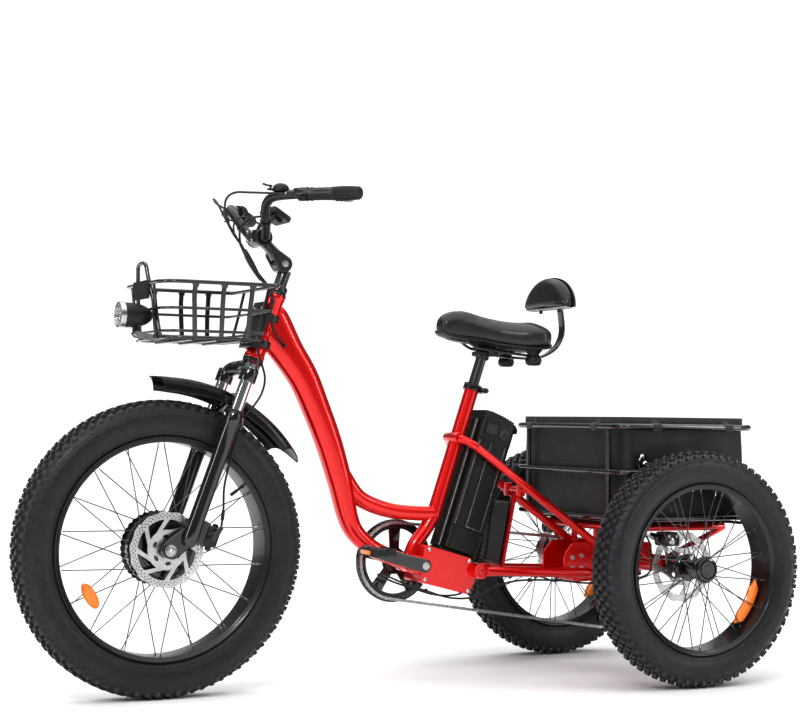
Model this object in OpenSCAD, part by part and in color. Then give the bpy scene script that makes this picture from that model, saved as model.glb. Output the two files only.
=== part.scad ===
// Fat-tyre electric tricycle for adults: one driven front wheel in a sprung fork, a low
// step-through frame, two rear wheels on split half axles and a cargo basket between them.
// Millimetres. +X points forward, +Y to the rider's left, +Z up, and the floor is z = 0.

/* [Wheels] */
// Distance between the front axle and the rear axle
wheelbase = 1287; // [1284:1:1290]
// Radius of the front tyre over its tread
front_tyre_r = 348; // [346:1:350]
// Radius of the rear tyres over their tread
rear_tyre_r = 293; // [291:1:295]
// Width of each tyre
tyre_w = 100; // [96:1:102]
// Distance between the middle planes of the rear tyres
rear_track = 682; // [682:1:690]
// Spokes in each wheel
spoke_count = 36; // [24:12:48]
// Diameter of the brake rotors
rotor_d = 180; // [160:20:180]

/* [Steering] */
// Lean of the steering axis from upright, in degrees
head_angle = 20; // [20:1:20]
// Distance between the two fork legs
leg_spacing = 156; // [154:1:160]
// Full width over the handlebar grips
bar_w = 670; // [640:10:680]

/* [Frame] */
// Lean of the seat tube from upright, in degrees
seat_angle = 18.5; // [18.5:0.5:18.5]
// Outer diameter of the seat tube
seat_tube_d = 36; // [35:1:37]
// Diameter of the seatpost
seatpost_d = 27.2; // [27.2:0.1:27.2]
// Length of each crank arm between its two axles
crank_len = 165; // [160:5:170]

/* [Cargo] */
// Length of the cargo basket at its top rail
cargo_l = 403; // [380:1:410]
// Width of the cargo basket at its top rail
cargo_w = 544; // [520:2:548]
// Height of the top rail above the floor
cargo_top = 645; // [630:5:650]

/* [Hidden] */
$fn = 48;
eps = 1;
fit_gap = 0.05;

// Where the axles stand
front_x = (wheelbase + rear_tyre_r - front_tyre_r) / 2;
rear_x = front_x - wheelbase;
rear_y = rear_track / 2;
bb = [-39, 0, 296];

// The steering frame: its origin sits on the steering axis beside the front axle
steer_offset = 61;
steer_o = [front_x - steer_offset * cos(head_angle), 0,
           front_tyre_r - steer_offset * sin(head_angle)];
leg_u = 26;
leg_y = leg_spacing / 2;
head_low = 501;
head_high = 666;
head_d = 46;
steerer_d = 28.6;
stem_pivot = [14, 742];
bar_clamp = [377, 0, 1090];

// The seat frame: its origin is the top of the seat tube
seat_o = [-213, 0, 735];

// Tyre and rim sizes, front and rear
rim_w = 88;
front_rim_r = 261;
rear_rim_r = 211;
hub_out = 395 - 341;
axle_r = 10;

// Chain line: wheels that the chain runs over, in the X and Z plane
chain_y = -80;
chain_w = 7;
chain_half = 4.5;
ring_r = 97;
sprocket_r = 40.6;
pulley_r = 22.5;
guide_at = [-680, 212];
tension_at = [-665, 124];

// Paint
frame_red = "firebrick";
trim_black = "#202122";

// ---------- helpers ----------

// Places its children in the steering frame: X forward across the axis, Z up along it
module at_steer() {
    translate(steer_o) rotate([0, -head_angle, 0]) children();
}

// Places its children at the top of the seat tube, Z along the tube
module at_seat() {
    translate(seat_o) rotate([0, -seat_angle, 0]) children();
}

// Copies its children to the rider's right
module both_sides() {
    children();
    mirror([0, 1, 0]) children();
}

// A point of the steering frame in the tricycle's own frame
function steer_pt(u, y, w) = steer_o + [
    u * cos(head_angle) - w * sin(head_angle), y,
    u * sin(head_angle) + w * cos(head_angle)];

// A solid round bar between two points
module bar(a, b, d) {
    v = b - a;
    translate(a) rotate([0, acos(v.z / norm(v)), atan2(v.y, v.x)])
        cylinder(d = d, h = norm(v));
}

// A hollow tube between two points
module pipe(a, b, d, wall = 1.8) {
    v = b - a;
    translate(a) rotate([0, acos(v.z / norm(v)), atan2(v.y, v.x)]) difference() {
        cylinder(d = d, h = norm(v));
        translate([0, 0, -eps]) cylinder(d = d - 2 * wall, h = norm(v) + 2 * eps);
    }
}

// A round bar across the tricycle, from y0 to y1
module across(x, z, y0, y1, d) {
    translate([x, y0, z]) rotate([-90, 0, 0]) cylinder(d = d, h = y1 - y0);
}

// A plate with an outline in the X and Z plane, from y0 to y1
module plate(outline, y0, y1) {
    translate([0, y1, 0]) rotate([90, 0, 0]) linear_extrude(y1 - y0) polygon(outline);
}

// A rectangle with round corners
module round_rect(size, r) {
    square([size.x - 2 * r, size.y], center = true);
    square([size.x, size.y - 2 * r], center = true);
    for (sx = [-1, 1], sy = [-1, 1])
        translate([sx * (size.x / 2 - r), sy * (size.y / 2 - r)]) circle(r = r);
}

// A smooth curve through points, with a number of steps in each span
function knot(p, i) = p[max(0, min(len(p) - 1, i))];
function spline_at(a, b, c, d, t) =
    0.5 * (2 * b + (c - a) * t + (2 * a - 5 * b + 4 * c - d) * t * t
    + (3 * b - a - 3 * c + d) * t * t * t);
function smooth(p, steps) = concat(
    [for (i = [0:len(p) - 2], j = [0:steps - 1])
        spline_at(knot(p, i - 1), p[i], p[i + 1], knot(p, i + 2), j / steps)],
    [p[len(p) - 1]]);

// A closed outline with its corners rounded over a length r
function unit(v) = v / norm(v);
function rounded_loop(p, r, steps) = [
    for (i = [0:len(p) - 1])
        let (b = p[i], a = p[(i + len(p) - 1) % len(p)], c = p[(i + 1) % len(p)],
            s = b + unit(a - b) * r, e = b + unit(c - b) * r)
        for (j = [0:steps]) let (t = j / steps)
            (1 - t) * (1 - t) * s + 2 * t * (1 - t) * b + t * t * e];

// A tube swept along points [x, y, z] or [x, y, z, depth, width]
function step_dir(p, i, closed) =
    let (n = len(p), a = closed ? p[(i + n - 1) % n] : p[max(0, i - 1)],
        b = closed ? p[(i + 1) % n] : p[min(n - 1, i + 1)])
    unit([b.x - a.x, b.y - a.y, b.z - a.z]);
function ring_at(p, t, side, ra, rb, sides) =
    let (s = unit(cross(t, side)), u = cross(s, t))
    [for (k = [0:sides - 1]) let (a = 360 * k / sides)
        [p.x, p.y, p.z] + s * ra * cos(a) + u * rb * sin(a)];
function wall_faces(rings, sides, closed) = [
    for (i = [0:rings - (closed ? 1 : 2)], k = [0:sides - 1])
        let (j = (i + 1) % rings, m = (k + 1) % sides,
            a = i * sides + k, b = i * sides + m, c = j * sides + m, d = j * sides + k)
        for (f = [[a, b, c], [a, c, d]]) f];
module swept(p, d = 0, side = [0, 1, 0], sides = 12, closed = false, shrink = 0) {
    rings = len(p);
    points = [for (i = [0:rings - 1])
        let (ra = (d > 0 ? d : p[i][3]) / 2 - shrink, rb = (d > 0 ? d : p[i][4]) / 2 - shrink)
        for (q = ring_at(p[i], step_dir(p, i, closed), side, ra, rb, sides)) q];
    first = [for (k = [0:sides - 1]) sides - 1 - k];
    last = [for (k = [0:sides - 1]) (rings - 1) * sides + k];
    caps = closed ? [] : [first, last];
    polyhedron(points = points, faces = concat(wall_faces(rings, sides, closed), caps));
}

// A ring of wire through the corners of an outline, bent round at each corner
module wire_loop(corners, d, r = 30, sides = 8) {
    swept(rounded_loop(corners, r, 3), d = d, side = [0, 0, 1], sides = sides, closed = true);
}

// ---------- frame ----------

// Steel head tube with the bore that the steerer turns in
module head_tube() {
    color(frame_red) at_steer() difference() {
        translate([0, 0, head_low]) cylinder(d = head_d, h = head_high - head_low);
        translate([0, 0, head_low - eps])
            cylinder(d = steerer_d + 2 * fit_gap, h = head_high - head_low + 2 * eps);
    }
}

// Bearing cups above and below the head tube
module headset() {
    cup_h = 7;
    color(trim_black) at_steer() difference() {
        union() {
            translate([0, 0, head_low - cup_h]) cylinder(d = head_d + 6, h = cup_h);
            translate([0, 0, head_high]) cylinder(d = head_d + 2, h = cup_h);
        }
        translate([0, 0, head_low - 2 * cup_h])
            cylinder(d = steerer_d + 2 * fit_gap, h = head_high - head_low + 4 * cup_h);
    }
}

// Centre line of the down tube with its depth and width at each point
down_pts = [
    [345, 0, 882, 105, 44], [300, 0, 818, 84, 50], [258, 0, 757, 76, 54],
    [226, 0, 690, 70, 56], [188, 0, 600, 66, 56], [155, 0, 500, 60, 54],
    [134, 0, 418, 50, 52], [111, 0, 374, 45, 50], [67, 0, 337, 42, 48],
    [10, 0, 312, 40, 46], [-39, 0, 298, 38, 44]];

module down_tube() {
    wall = 2.5;
    path = smooth(down_pts, 2);
    color(frame_red) difference() {
        swept(path, sides = 16);
        swept(path, sides = 16, shrink = wall);
        at_steer() translate([0, 0, head_low - 20])
            cylinder(d = head_d - 1, h = head_high - head_low + 40);
        across(bb.x, bb.z, -60, 60, 43);
    }
}

// Low step tube from the down tube back to the seat tube
module step_tube() {
    wall = 2;
    path = smooth([[146, 0, 515, 42, 40], [113, 0, 470, 41, 40], [76, 0, 447, 40, 40],
        [12, 0, 428, 38, 38], [-60, 0, 421, 37, 36], [-112, 0, 420, 37, 36]], 2);
    color(frame_red) difference() {
        swept(path, sides = 16);
        swept(path, sides = 16, shrink = wall);
    }
}

// Seat tube, its bent foot and the bottom bracket shell
module seat_tube() {
    straight = 325;
    bore_depth = 290;
    color(frame_red) difference() {
        union() {
            at_seat() translate([0, 0, -straight]) cylinder(d = seat_tube_d, h = straight);
            swept(smooth([[-114, 0, 440], [-106, 0, 416], [-84, 0, 381], [-56, 0, 346],
                [-43, 0, 318], [-39, 0, 300]], 2), d = seat_tube_d);
            across(bb.x, bb.z, -50, 50, 44);
        }
        at_seat() translate([0, 0, -bore_depth])
            cylinder(d = seatpost_d + 2 * fit_gap, h = bore_depth + eps);
        across(bb.x, bb.z, -60, 60, 2 * axle_r + 2 * fit_gap);
    }
}

// Sheet metal case for the motor controller, behind the bottom bracket
case_pts = [[-58, 346], [-192, 308], [-205, 255], [-184, 217], [-45, 253]];
case_in = [[-64, 340], [-188, 304], [-200, 256], [-181, 223], [-51, 257]];
case_half = 44;
cover_t = 3;

module controller_case() {
    color(frame_red) difference() {
        plate(case_pts, -case_half, case_half);
        plate(case_in, -case_half + cover_t, case_half + eps);
        across(bb.x, bb.z, -60, 60, 44.6);
    }
}

module controller_cover() {
    color(frame_red) difference() {
        plate(case_pts, case_half, case_half + cover_t);
        across(bb.x, bb.z, -60, 60, 44.6);
        for (p = cover_screws)
            across(p.x, p.y, case_half - eps, case_half + cover_t + eps, 5.2);
    }
}

cover_screws = [[-72, 333], [-186, 301], [-182, 226], [-60, 259]];

// Battery: it slides up off its dock along the seat tube
batt_top = -56;
batt_len = 350;
batt_depth = 98;
batt_half = 43;
dock_t = 22;
dock_off = seat_tube_d / 2 + 2;

module battery_dock() {
    rail = 8;
    color("silver") at_seat() {
        translate([-dock_off - dock_t + rail, -22, batt_top - batt_len])
            cube([dock_t - rail, 44, batt_len - 10]);
        translate([-dock_off - dock_t, -14, batt_top - batt_len])
            cube([rail, 28, batt_len - 10]);
        translate([-dock_off - dock_t - batt_depth + 14, -30, batt_top - batt_len - 14])
            cube([batt_depth + 8, 60, 12]);
        for (z = [-130, -290]) translate([-dock_off - 4, 0, z]) rotate([0, 90, 0])
            cylinder(d = 9, h = 8);
    }
}

module battery() {
    slot = 0.5;
    front = -dock_off - dock_t + 9 - slot - 2;
    color(trim_black) at_seat() difference() {
        union() {
            translate([front - batt_depth / 2, 0, batt_top - batt_len]) linear_extrude(batt_len)
                round_rect([batt_depth, 2 * batt_half], 12);
            translate([front - batt_depth / 2 - 6, 0, batt_top]) linear_extrude(16)
                round_rect([batt_depth - 4, 2 * batt_half - 10], 12);
        }
        translate([front - 10, -15, batt_top - batt_len - eps]) cube([12, 30, batt_len + eps]);
        translate([front - batt_depth + 12, -batt_half + 12, batt_top - 4])
            cube([batt_depth - 40, 2 * batt_half - 24, 12]);
    }
}

// Box for the wiring, behind the battery
module wiring_box() {
    color(trim_black) plate([[-266, 453], [-316, 449], [-286, 288], [-245, 301]],
        -30, 30);
}

// Seat stays, chain stays and their braces
stay_y = 62;
stay_top = [-162, 612];
module rear_frame() {
    color(frame_red) {
        difference() {
            across(stay_top.x, stay_top.y, -34, 34, 27);
            at_seat() translate([0, 0, -200]) cylinder(d = seat_tube_d - 1, h = 150);
        }
        both_sides() {
            swept([[stay_top.x, 24, stay_top.y], [-168, 40, 608], [-178, 54, 601],
                [-194, 61, 590], [-214, stay_y, 576], [-559, stay_y, 335],
                [-590, stay_y, 313]], d = 21);
            pipe([-210, 56, 277], [-540, stay_y, 263], 26);
            across(-210, 277, 40, 70, 40);
        }
        across(-344, 479, -stay_y, stay_y, 16);
        across(-305, 276, -stay_y + 4, stay_y - 4, 16);
        bar([-305, 0, 276], [-344, 0, 479], 14);
        bar([-316, 0, 335], [-290, 0, 331], 9);
        bar([-334, 0, 428], [-306, 0, 422], 9);
        for (y = [-32, 32]) translate([-352, y - 8, 462]) cube([20, 16, 34]);
    }
}

// Plates and tubes that carry the two half axles
plate_in = 49;
plate_out = 55;
axle_tube_d = 46;
sleeve_d = 30;
module axle_carrier() {
    cheek = [[-462, 266], [-462, 312], [-488, 342], [-640, 346], [-735, 338], [-735, 300],
        [-700, 262], [-640, 244], [-500, 240]];
    outer = [[-596, 262], [-596, 290], [-640, 346], [-735, 338], [-735, 300], [-700, 262]];
    color(frame_red) difference() {
        union() {
            plate(cheek, plate_in, plate_out);
            plate(cheek, -plate_out, -plate_in);
            plate(outer, -97, -91);
            across(rear_x, rear_tyre_r, plate_out - 1, 225, axle_tube_d);
            across(rear_x, rear_tyre_r, -225, -96, axle_tube_d);
            across(-724, 322, -97, -plate_in, 16);
            across(-606, 274, -97, -plate_in, 16);
            translate([-540, -plate_in - 1, 240]) cube([34, 2 * plate_in + 2, 24]);
        }
        across(rear_x, rear_tyre_r, 68, 213, axle_tube_d - 6);
        across(rear_x, rear_tyre_r, -213, -108, axle_tube_d - 6);
        across(rear_x, rear_tyre_r, -240, 240, 2 * axle_r + 2 * fit_gap);
        across(rear_x, rear_tyre_r, -60, -40, sleeve_d + 2 * fit_gap);
        for (s = [-1, 1]) translate([-478, s * 52 - 5, 286]) cube([36, 10, 9]);
    }
}

// Flat rack that the cargo basket stands on, with its struts
rack_y = 170;
rack_z = 385;
module rack() {
    d = 20;
    color(frame_red) {
        both_sides() {
            bar([-534, rack_y, rack_z], [-884, rack_y, rack_z], d);
            bar([-876, rack_y, rack_z - 4], [-691.2, rack_y, 301.7], 16);
            bar([-545, rack_y, rack_z - 4], [-653, rack_y, 305.6], 16);
            translate([-566, plate_in - 3, 338]) cube([12, 14, 44]);
            translate([-700, plate_in - 3, 338]) cube([12, 14, 44]);
        }
        across(-560, rack_z, -rack_y, rack_y, d);
        across(-694, rack_z, -rack_y, rack_y, d);
        across(-868, rack_z, -rack_y, rack_y, d);
    }
}

// Screws and bolts of the frame, as separate heads and shanks
module frame_bolts() {
    color("silver") {
        for (p = cover_screws) {
            across(p.x, p.y, case_half - 6, case_half + cover_t, 5);
            across(p.x, p.y, case_half + cover_t, case_half + cover_t + 3, 10);
        }
        both_sides() for (p = [[-615, 322], [-590, 284], [-560, 290]])
            across(p.x, p.y, plate_out, plate_out + 7, 12);
    }
}

// ---------- front basket and lamp ----------

// Corner outline of the front basket at a height, from the mouth's size
function basket_ring(z, front, rear, half) = [
    [front, half - 30, z], [front - 26, half, z], [rear, half, z],
    [rear, -half, z], [front - 26, -half, z], [front, -half + 30, z]];
lamp_at = [651, 45, 889];
lamp_pin = [698, 846];
basket_top = 965;
basket_floor = 838;
basket_rings = [[basket_top, 668, 382, 150, 9], [905, 661, 396, 144, 7],
    [853, 652, 410, 137, 7], [basket_floor, 646, 418, 130, 7]];

// A basket rod with round ends
module rod(a, b, d) {
    hull() for (p = [a, b]) translate(p) sphere(d = d, $fn = 8);
}

module front_basket() {
    color(trim_black) {
        for (r = basket_rings)
            wire_loop(basket_ring(r[0], r[1], r[2], r[3]), r[4], r = 12);
        both_sides() for (x = [450, 520, 590])
            rod([x, 150, basket_top], [x * 0.9 + 52, 130, basket_floor], 8);
        for (y = [-80, 80]) {
            rod([668, y, basket_top], [646, y, basket_floor], 8);
            rod([382, y, basket_top], [418, y, basket_floor], 8);
        }
        for (y = [-90, -45, 0, 45, 90])
            rod([416, y, basket_floor], [647, y, basket_floor], 6);
        for (x = [470, 530, 590])
            rod([x, -131, basket_floor - 2], [x, 131, basket_floor - 2], 6);
        swept(smooth([[657, 60, 900], [664, 50, 950], [669, 34, 995], [670, 20, 1010],
            [670, 0, 1013], [670, -20, 1010], [669, -34, 995], [664, -50, 950],
            [657, -60, 900]], 1), d = 9, side = [1, 0, 0], sides = 10);
        both_sides() rod([657, 60, 902], [650, 62, basket_floor], 9);
        translate([669, -57, 929]) cube([5, 114, 43]);
        for (y = [-30, 30]) {
            rod([397, y, 905], [379, y, 905], 7);
            rod([419, y, basket_floor], [403, y, basket_floor], 7);
        }
    }
}

// Fork and pin under the basket's front edge that carry the lamp
module lamp_bracket() {
    color("silver") {
        for (y = [lamp_at.y - 10, lamp_at.y + 6])
            plate([[643, 832], [643, 842], [690, 850], [698, 853], [705, 846], [698, 839]],
                y, y + 4);
        across(lamp_pin.x, lamp_pin.y, lamp_at.y - 9, lamp_at.y + 9, 5);
    }
}

// Plate and arms that hold the basket on the head tube
module basket_bracket() {
    off = head_d / 2;
    color(trim_black) at_steer() difference() {
        union() {
            translate([off + 4, -42, head_low + 18]) cube([5, 84, 118]);
            for (y = [-30, 22]) translate([off - 6, y, head_low + 20]) cube([14, 8, 100]);
            for (w = [head_low + 30, head_low + 96]) translate([0, 0, w])
                cylinder(d = head_d + 12, h = 18);
        }
        translate([0, 0, head_low]) cylinder(d = head_d + 0.2, h = 170);
    }
}

module headlight() {
    len_cone = 50;
    color(trim_black) {
        translate([lamp_at.x + 8, lamp_at.y, lamp_at.z]) rotate([0, 90, 0]) rotate_extrude()
            polygon([[0, 0], [10, 2], [20, 12], [26, 30], [29, len_cone], [29, 82], [0, 82]]);
        difference() {
            translate([lamp_pin.x - 7, lamp_at.y - 5, lamp_pin.y - 6]) cube([14, 10, 22]);
            across(lamp_pin.x, lamp_pin.y, lamp_at.y - 6, lamp_at.y + 6, 5 + 2 * fit_gap);
        }
    }
}

// ---------- cargo basket ----------

cargo_x1 = -501;
cargo_x0 = cargo_x1 - cargo_l;
cargo_mid = 530;
cargo_low = 413;
function cargo_ring(z, inset) = [
    [cargo_x1 - 0.3 * inset, cargo_w / 2 - inset * 0.4, z],
    [cargo_x0 + inset, cargo_w / 2 - inset * 0.4, z],
    [cargo_x0 + inset, -cargo_w / 2 + inset * 0.4, z],
    [cargo_x1 - 0.3 * inset, -cargo_w / 2 + inset * 0.4, z]];

module cargo_basket() {
    post = 9;
    side_y = cargo_w / 2;
    color(trim_black) {
        wire_loop(cargo_ring(cargo_top, 0), 14, r = 50, sides = 10);
        wire_loop(cargo_ring(cargo_mid, 4), 12, r = 46, sides = 10);
        wire_loop(cargo_ring(cargo_low, 10), 12, r = 42, sides = 10);
        for (y = [-196, 196]) {
            bar([cargo_x1, y, cargo_top], [cargo_x1 - 3, y, cargo_low], post);
            bar([cargo_x0, y, cargo_top], [cargo_x0 + 10, y, cargo_low], post);
        }
        both_sides() for (x = [cargo_x1 - 70, cargo_x0 + 80])
            bar([x, side_y, cargo_top], [x, side_y - 4, cargo_low], post);
        for (y = [-rack_y, -60, 60, rack_y])
            bar([cargo_x1 - 3, y, cargo_low - 7], [cargo_x0 + 10, y, cargo_low - 7], 8);
        for (x = [-560, -694, -868])
            bar([x, -side_y + 8, cargo_low - 14], [x, side_y - 8, cargo_low - 14], 8);
        both_sides() translate([-568, side_y - 4, 530]) cube([16, 6, 50]);
    }
}

// Fabric box inside the basket, folded over the top rail
liner_wall = 4;
liner_l = 372;
liner_h = 259;
liner_w = 516;
module cargo_liner() {
    mid = [(cargo_x0 + cargo_x1) / 2 + 1, 0, cargo_low - 2.5];
    color("#18191a") translate(mid) difference() {
        linear_extrude(liner_h) round_rect([liner_l, liner_w], 34);
        translate([0, 0, liner_wall]) linear_extrude(liner_h)
            round_rect([liner_l - 2 * liner_wall, liner_w - 2 * liner_wall], 30);
    }
}

// ---------- drive train ----------

// Circles that the chain runs over: centre, radius, and 1 where it turns anticlockwise
chain_wheels = [
    [[rear_x, rear_tyre_r], sprocket_r, -1], [[bb.x, bb.z], ring_r, -1],
    [tension_at, pulley_r, -1], [guide_at, pulley_r, 1]];
function run_angle(i) =
    let (a = chain_wheels[i], b = chain_wheels[(i + 1) % 4], d = b[0] - a[0],
        k = b[2] * b[1] - a[2] * a[1])
    atan2(d.y, d.x) - asin(k / norm(d));
function turn_at(i) =
    let (t = (run_angle(i) - run_angle((i + 3) % 4)) * chain_wheels[i][2])
    chain_wheels[i][2] * (t - 360 * floor(t / 360));
function chain_path(off) = [
    for (i = [0:3])
        let (w = chain_wheels[i], turn = turn_at(i), from = run_angle((i + 3) % 4),
            n = ceil(abs(turn) / 12))
        for (j = [0:n]) let (a = from + turn * j / n)
            w[0] + (off - w[2] * w[1]) * [-sin(a), cos(a)]];
module chain() {
    left = chain_path(chain_half);
    right = chain_path(-chain_half);
    color("gray") translate([0, chain_y + chain_w / 2, 0]) rotate([90, 0, 0])
        linear_extrude(chain_w) polygon(points = concat(left, right),
            paths = [[for (i = [0:len(left) - 1]) i],
                [for (i = [0:len(right) - 1]) len(left) + i]]);
}

// Spindle, both arms and the threaded ends for the pedals
crank_tilt = atan2(43, 159);
pedal_l = bb + crank_len * [cos(crank_tilt), 0, sin(crank_tilt)];
pedal_r = bb - crank_len * [cos(crank_tilt), 0, sin(crank_tilt)];
arm_in = 78;
arm_out = 92;
pedal_pin_d = 12;
module crank_arm(end, y0, y1) {
    side = 15 * [-sin(crank_tilt), 0, cos(crank_tilt)];
    tip = 0.8 * side;
    across(bb.x, bb.z, y0, y1, 36);
    across(end.x, end.z, y0, y1, 28);
    plate([[bb.x + side.x, bb.z + side.z], [end.x + tip.x, end.z + tip.z],
        [end.x - tip.x, end.z - tip.z], [bb.x - side.x, bb.z - side.z]], y0 + 1, y1 - 1);
}

module crank_arms() {
    color(trim_black) {
        across(bb.x, bb.z, -arm_out - 8, arm_out, 2 * axle_r);
        crank_arm(pedal_l, arm_in, arm_out);
        crank_arm(pedal_r, -arm_out - 16, -arm_out - 2);
        across(pedal_l.x, pedal_l.z, arm_out - 2, arm_out + 98, pedal_pin_d);
        across(pedal_r.x, pedal_r.z, -arm_out - 114, -arm_out - 14, pedal_pin_d);
    }
}

// Chainring, its five arms and the round guard beside it
module chainring() {
    tip_r = ring_r - chain_half - 0.5;
    guard_r = 106;
    y0 = -91;
    color(trim_black) {
        difference() {
            across(bb.x, bb.z, y0, y0 + 5, 2 * guard_r);
            across(bb.x, bb.z, y0 - eps, y0 + 6, 2 * guard_r - 40);
        }
        difference() {
            across(bb.x, bb.z, chain_y - 2, chain_y + 2, 2 * tip_r);
            across(bb.x, bb.z, chain_y - 4, chain_y + 4, 2 * tip_r - 26);
        }
        difference() {
            union() {
                across(bb.x, bb.z, y0 + 1, chain_y + 2, 52);
                for (i = [0:4]) translate([bb.x, y0 + 1, bb.z]) rotate([0, 72 * i + 18, 0])
                    translate([0, 0, -9]) cube([guard_r - 16, 11, 18]);
            }
            across(bb.x, bb.z, y0 - eps, chain_y + 4, 2 * axle_r);
        }
    }
}

// Platform pedal on its spindle, with a reflector on each long side
module pedal(at, s) {
    y0 = 6;
    len = 92;
    half = 32;
    translate(at) scale_side(s) difference() {
        union() {
            across(0, 0, -2, y0 + len, 20);
            for (x = [-half, half - 7]) translate([x, y0, -8]) cube([7, len, 16]);
            for (y = [y0, y0 + len / 2 - 4, y0 + len - 8])
                translate([-half, y, -8]) cube([2 * half, 8, 16]);
        }
        across(0, 0, -6, y0 + len + eps, pedal_pin_d + 2 * fit_gap);
    }
}
module scale_side(s) {
    if (s > 0) children();
    else mirror([0, 1, 0]) children();
}
module left_pedal() {
    color(trim_black) pedal([pedal_l.x, arm_out + 4, pedal_l.z], 1);
}
module right_pedal() {
    color(trim_black) pedal([pedal_r.x, -arm_out - 20, pedal_r.z], -1);
}

// Sprocket and the differential drum that it turns
module cassette() {
    tip_r = sprocket_r - chain_half - 0.5;
    color("dimgray") difference() {
        union() {
            across(rear_x, rear_tyre_r, -plate_in + 3, plate_in - 3, 62);
            across(rear_x, rear_tyre_r, chain_y, plate_in - 1, sleeve_d);
        }
        across(rear_x, rear_tyre_r, -90, 60, 2 * axle_r + 2 * fit_gap);
    }
    color("silver") difference() {
        across(rear_x, rear_tyre_r, chain_y - 2, chain_y + 2, 2 * tip_r);
        across(rear_x, rear_tyre_r, chain_y - 4, chain_y + 4, 2 * axle_r + 2 * fit_gap);
    }
}

// Chain tensioner with its two jockey wheels
module derailleur() {
    color(trim_black) {
        for (p = [guide_at, tension_at]) {
            across(p.x, p.y, chain_y - 3, chain_y + 3, 2 * (pulley_r - chain_half - 0.5));
            across(p.x, p.y, chain_y - 8, chain_y + 8, 8);
        }
        for (y = [chain_y - 8, chain_y + 6]) plate([[-690, 220], [-668, 222], [-650, 120],
            [-660, 110], [-676, 114]], y, y + 2);
        plate([[-700, 214], [-688, 250], [-706, 268], [-720, 262], [-712, 220]],
            chain_y + 6, chain_y + 10);
        across(-706, 262, chain_y + 8, -plate_in, 12);
        plate([[-692, 204], [-712, 214], [-704, 226], [-684, 220]], chain_y + 6, chain_y + 9);
    }
}

// ---------- seat ----------

module seat_clamp() {
    color(trim_black) at_seat() difference() {
        union() {
            translate([0, 0, -2]) cylinder(d = seat_tube_d + 10, h = 16);
            translate([-34, -11, 0]) cube([16, 22, 12]);
        }
        translate([0, 0, -3]) cylinder(d = seat_tube_d + 0.1, h = 3);
        translate([0, 0, -3]) cylinder(d = seatpost_d + 1, h = 20);
        translate([-36, -1.5, -3]) cube([22, 3, 18]);
        translate([-27, -14, 6]) rotate([-90, 0, 0]) cylinder(d = 6 + 2 * fit_gap, h = 28);
    }
}

module seat_clamp_lever() {
    color(trim_black) at_seat() {
        translate([-27, -14, 6]) rotate([-90, 0, 0]) cylinder(d = 6, h = 40);
        translate([-27, 12, 6]) rotate([-90, 0, 0]) cylinder(d = 14, h = 19);
        translate([-27, 25, 0]) cube([62, 6, 12]);
        translate([-27, -20, 6]) rotate([-90, 0, 0]) cylinder(d = 12, h = 6);
    }
}

post_top = 112;
module seatpost() {
    color("#303234") at_seat() {
        difference() {
            translate([0, 0, -200]) cylinder(d = seatpost_d, h = 200 + post_top);
            translate([0, 0, -201]) cylinder(d = seatpost_d - 5, h = 190 + post_top);
        }
    }
}

// Clamp, rails, pan and the two rubber springs under the saddle
module saddle_frame() {
    top = seat_o + [-post_top * sin(seat_angle), 0, post_top * cos(seat_angle)];
    color("#242526") {
        difference() {
            translate([top.x - 36, -26, top.z - 22]) cube([66, 52, 26]);
            at_seat() cylinder(d = seatpost_d, h = post_top);
        }
        both_sides() {
            swept([[-180, 16, 862], [-208, 20, top.z + 5], [-230, 24, top.z - 2],
                [-300, 46, top.z - 12], [-352, 64, top.z - 18]], d = 7, side = [0, 0, 1],
                sides = 8);
            translate([-354, 70, 798]) rotate_extrude()
                polygon([[0, 0], [17, 0], [21, 6], [21, 20], [15, 26], [15, 30], [24, 40],
                    [24, 52], [0, 52]]);
        }
        translate([-330, -50, top.z - 2]) cube([70, 100, 12]);
    }
}

// Saddle cushion: nose, waist and wide tail
module saddle_pad() {
    color("#1b1c1e") {
        hull() {
            translate([-143, 0, 900]) sphere(d = 66, $fn = 24);
            translate([-235, 0, 894]) sphere(d = 92, $fn = 24);
        }
        hull() {
            translate([-235, 0, 894]) sphere(d = 92, $fn = 24);
            for (y = [-66, 66]) translate([-345, y, 880]) sphere(d = 92, $fn = 24);
        }
        hull() for (y = [-66, 66]) {
            translate([-345, y, 880]) sphere(d = 92, $fn = 24);
            translate([-372, y * 0.8, 882]) sphere(d = 62, $fn = 24);
        }
    }
}

module backrest_arm() {
    path = smooth([[-270, 0, 824], [-330, 0, 820], [-380, 0, 819], [-424, 0, 827], [-462, 0, 850],
        [-481, 0, 885], [-480, 0, 925], [-472, 0, 970], [-466, 0, 1005]], 2);
    color(trim_black) swept([for (p = path) [p.x, p.y, p.z, 7, 26]], sides = 12);
}

module backrest_pad() {
    color("#1b1c1e") difference() {
        translate([-440, 0, 952]) rotate([0, -6, 0]) intersection() {
            translate([0, 0, -2]) rotate([90, 0, 90]) translate([0, 0, -22])
                linear_extrude(44) intersection() {
                    scale_circle(112, 82);
                    translate([-150, 0]) square([300, 90]);
                }
        }
        translate([-500, -15, 940]) cube([36, 30, 80]);
    }
}
module scale_circle(a, b) {
    polygon([for (k = [0:47]) [a * cos(7.5 * k), b * sin(7.5 * k)]]);
}

// ---------- steering ----------

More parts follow.
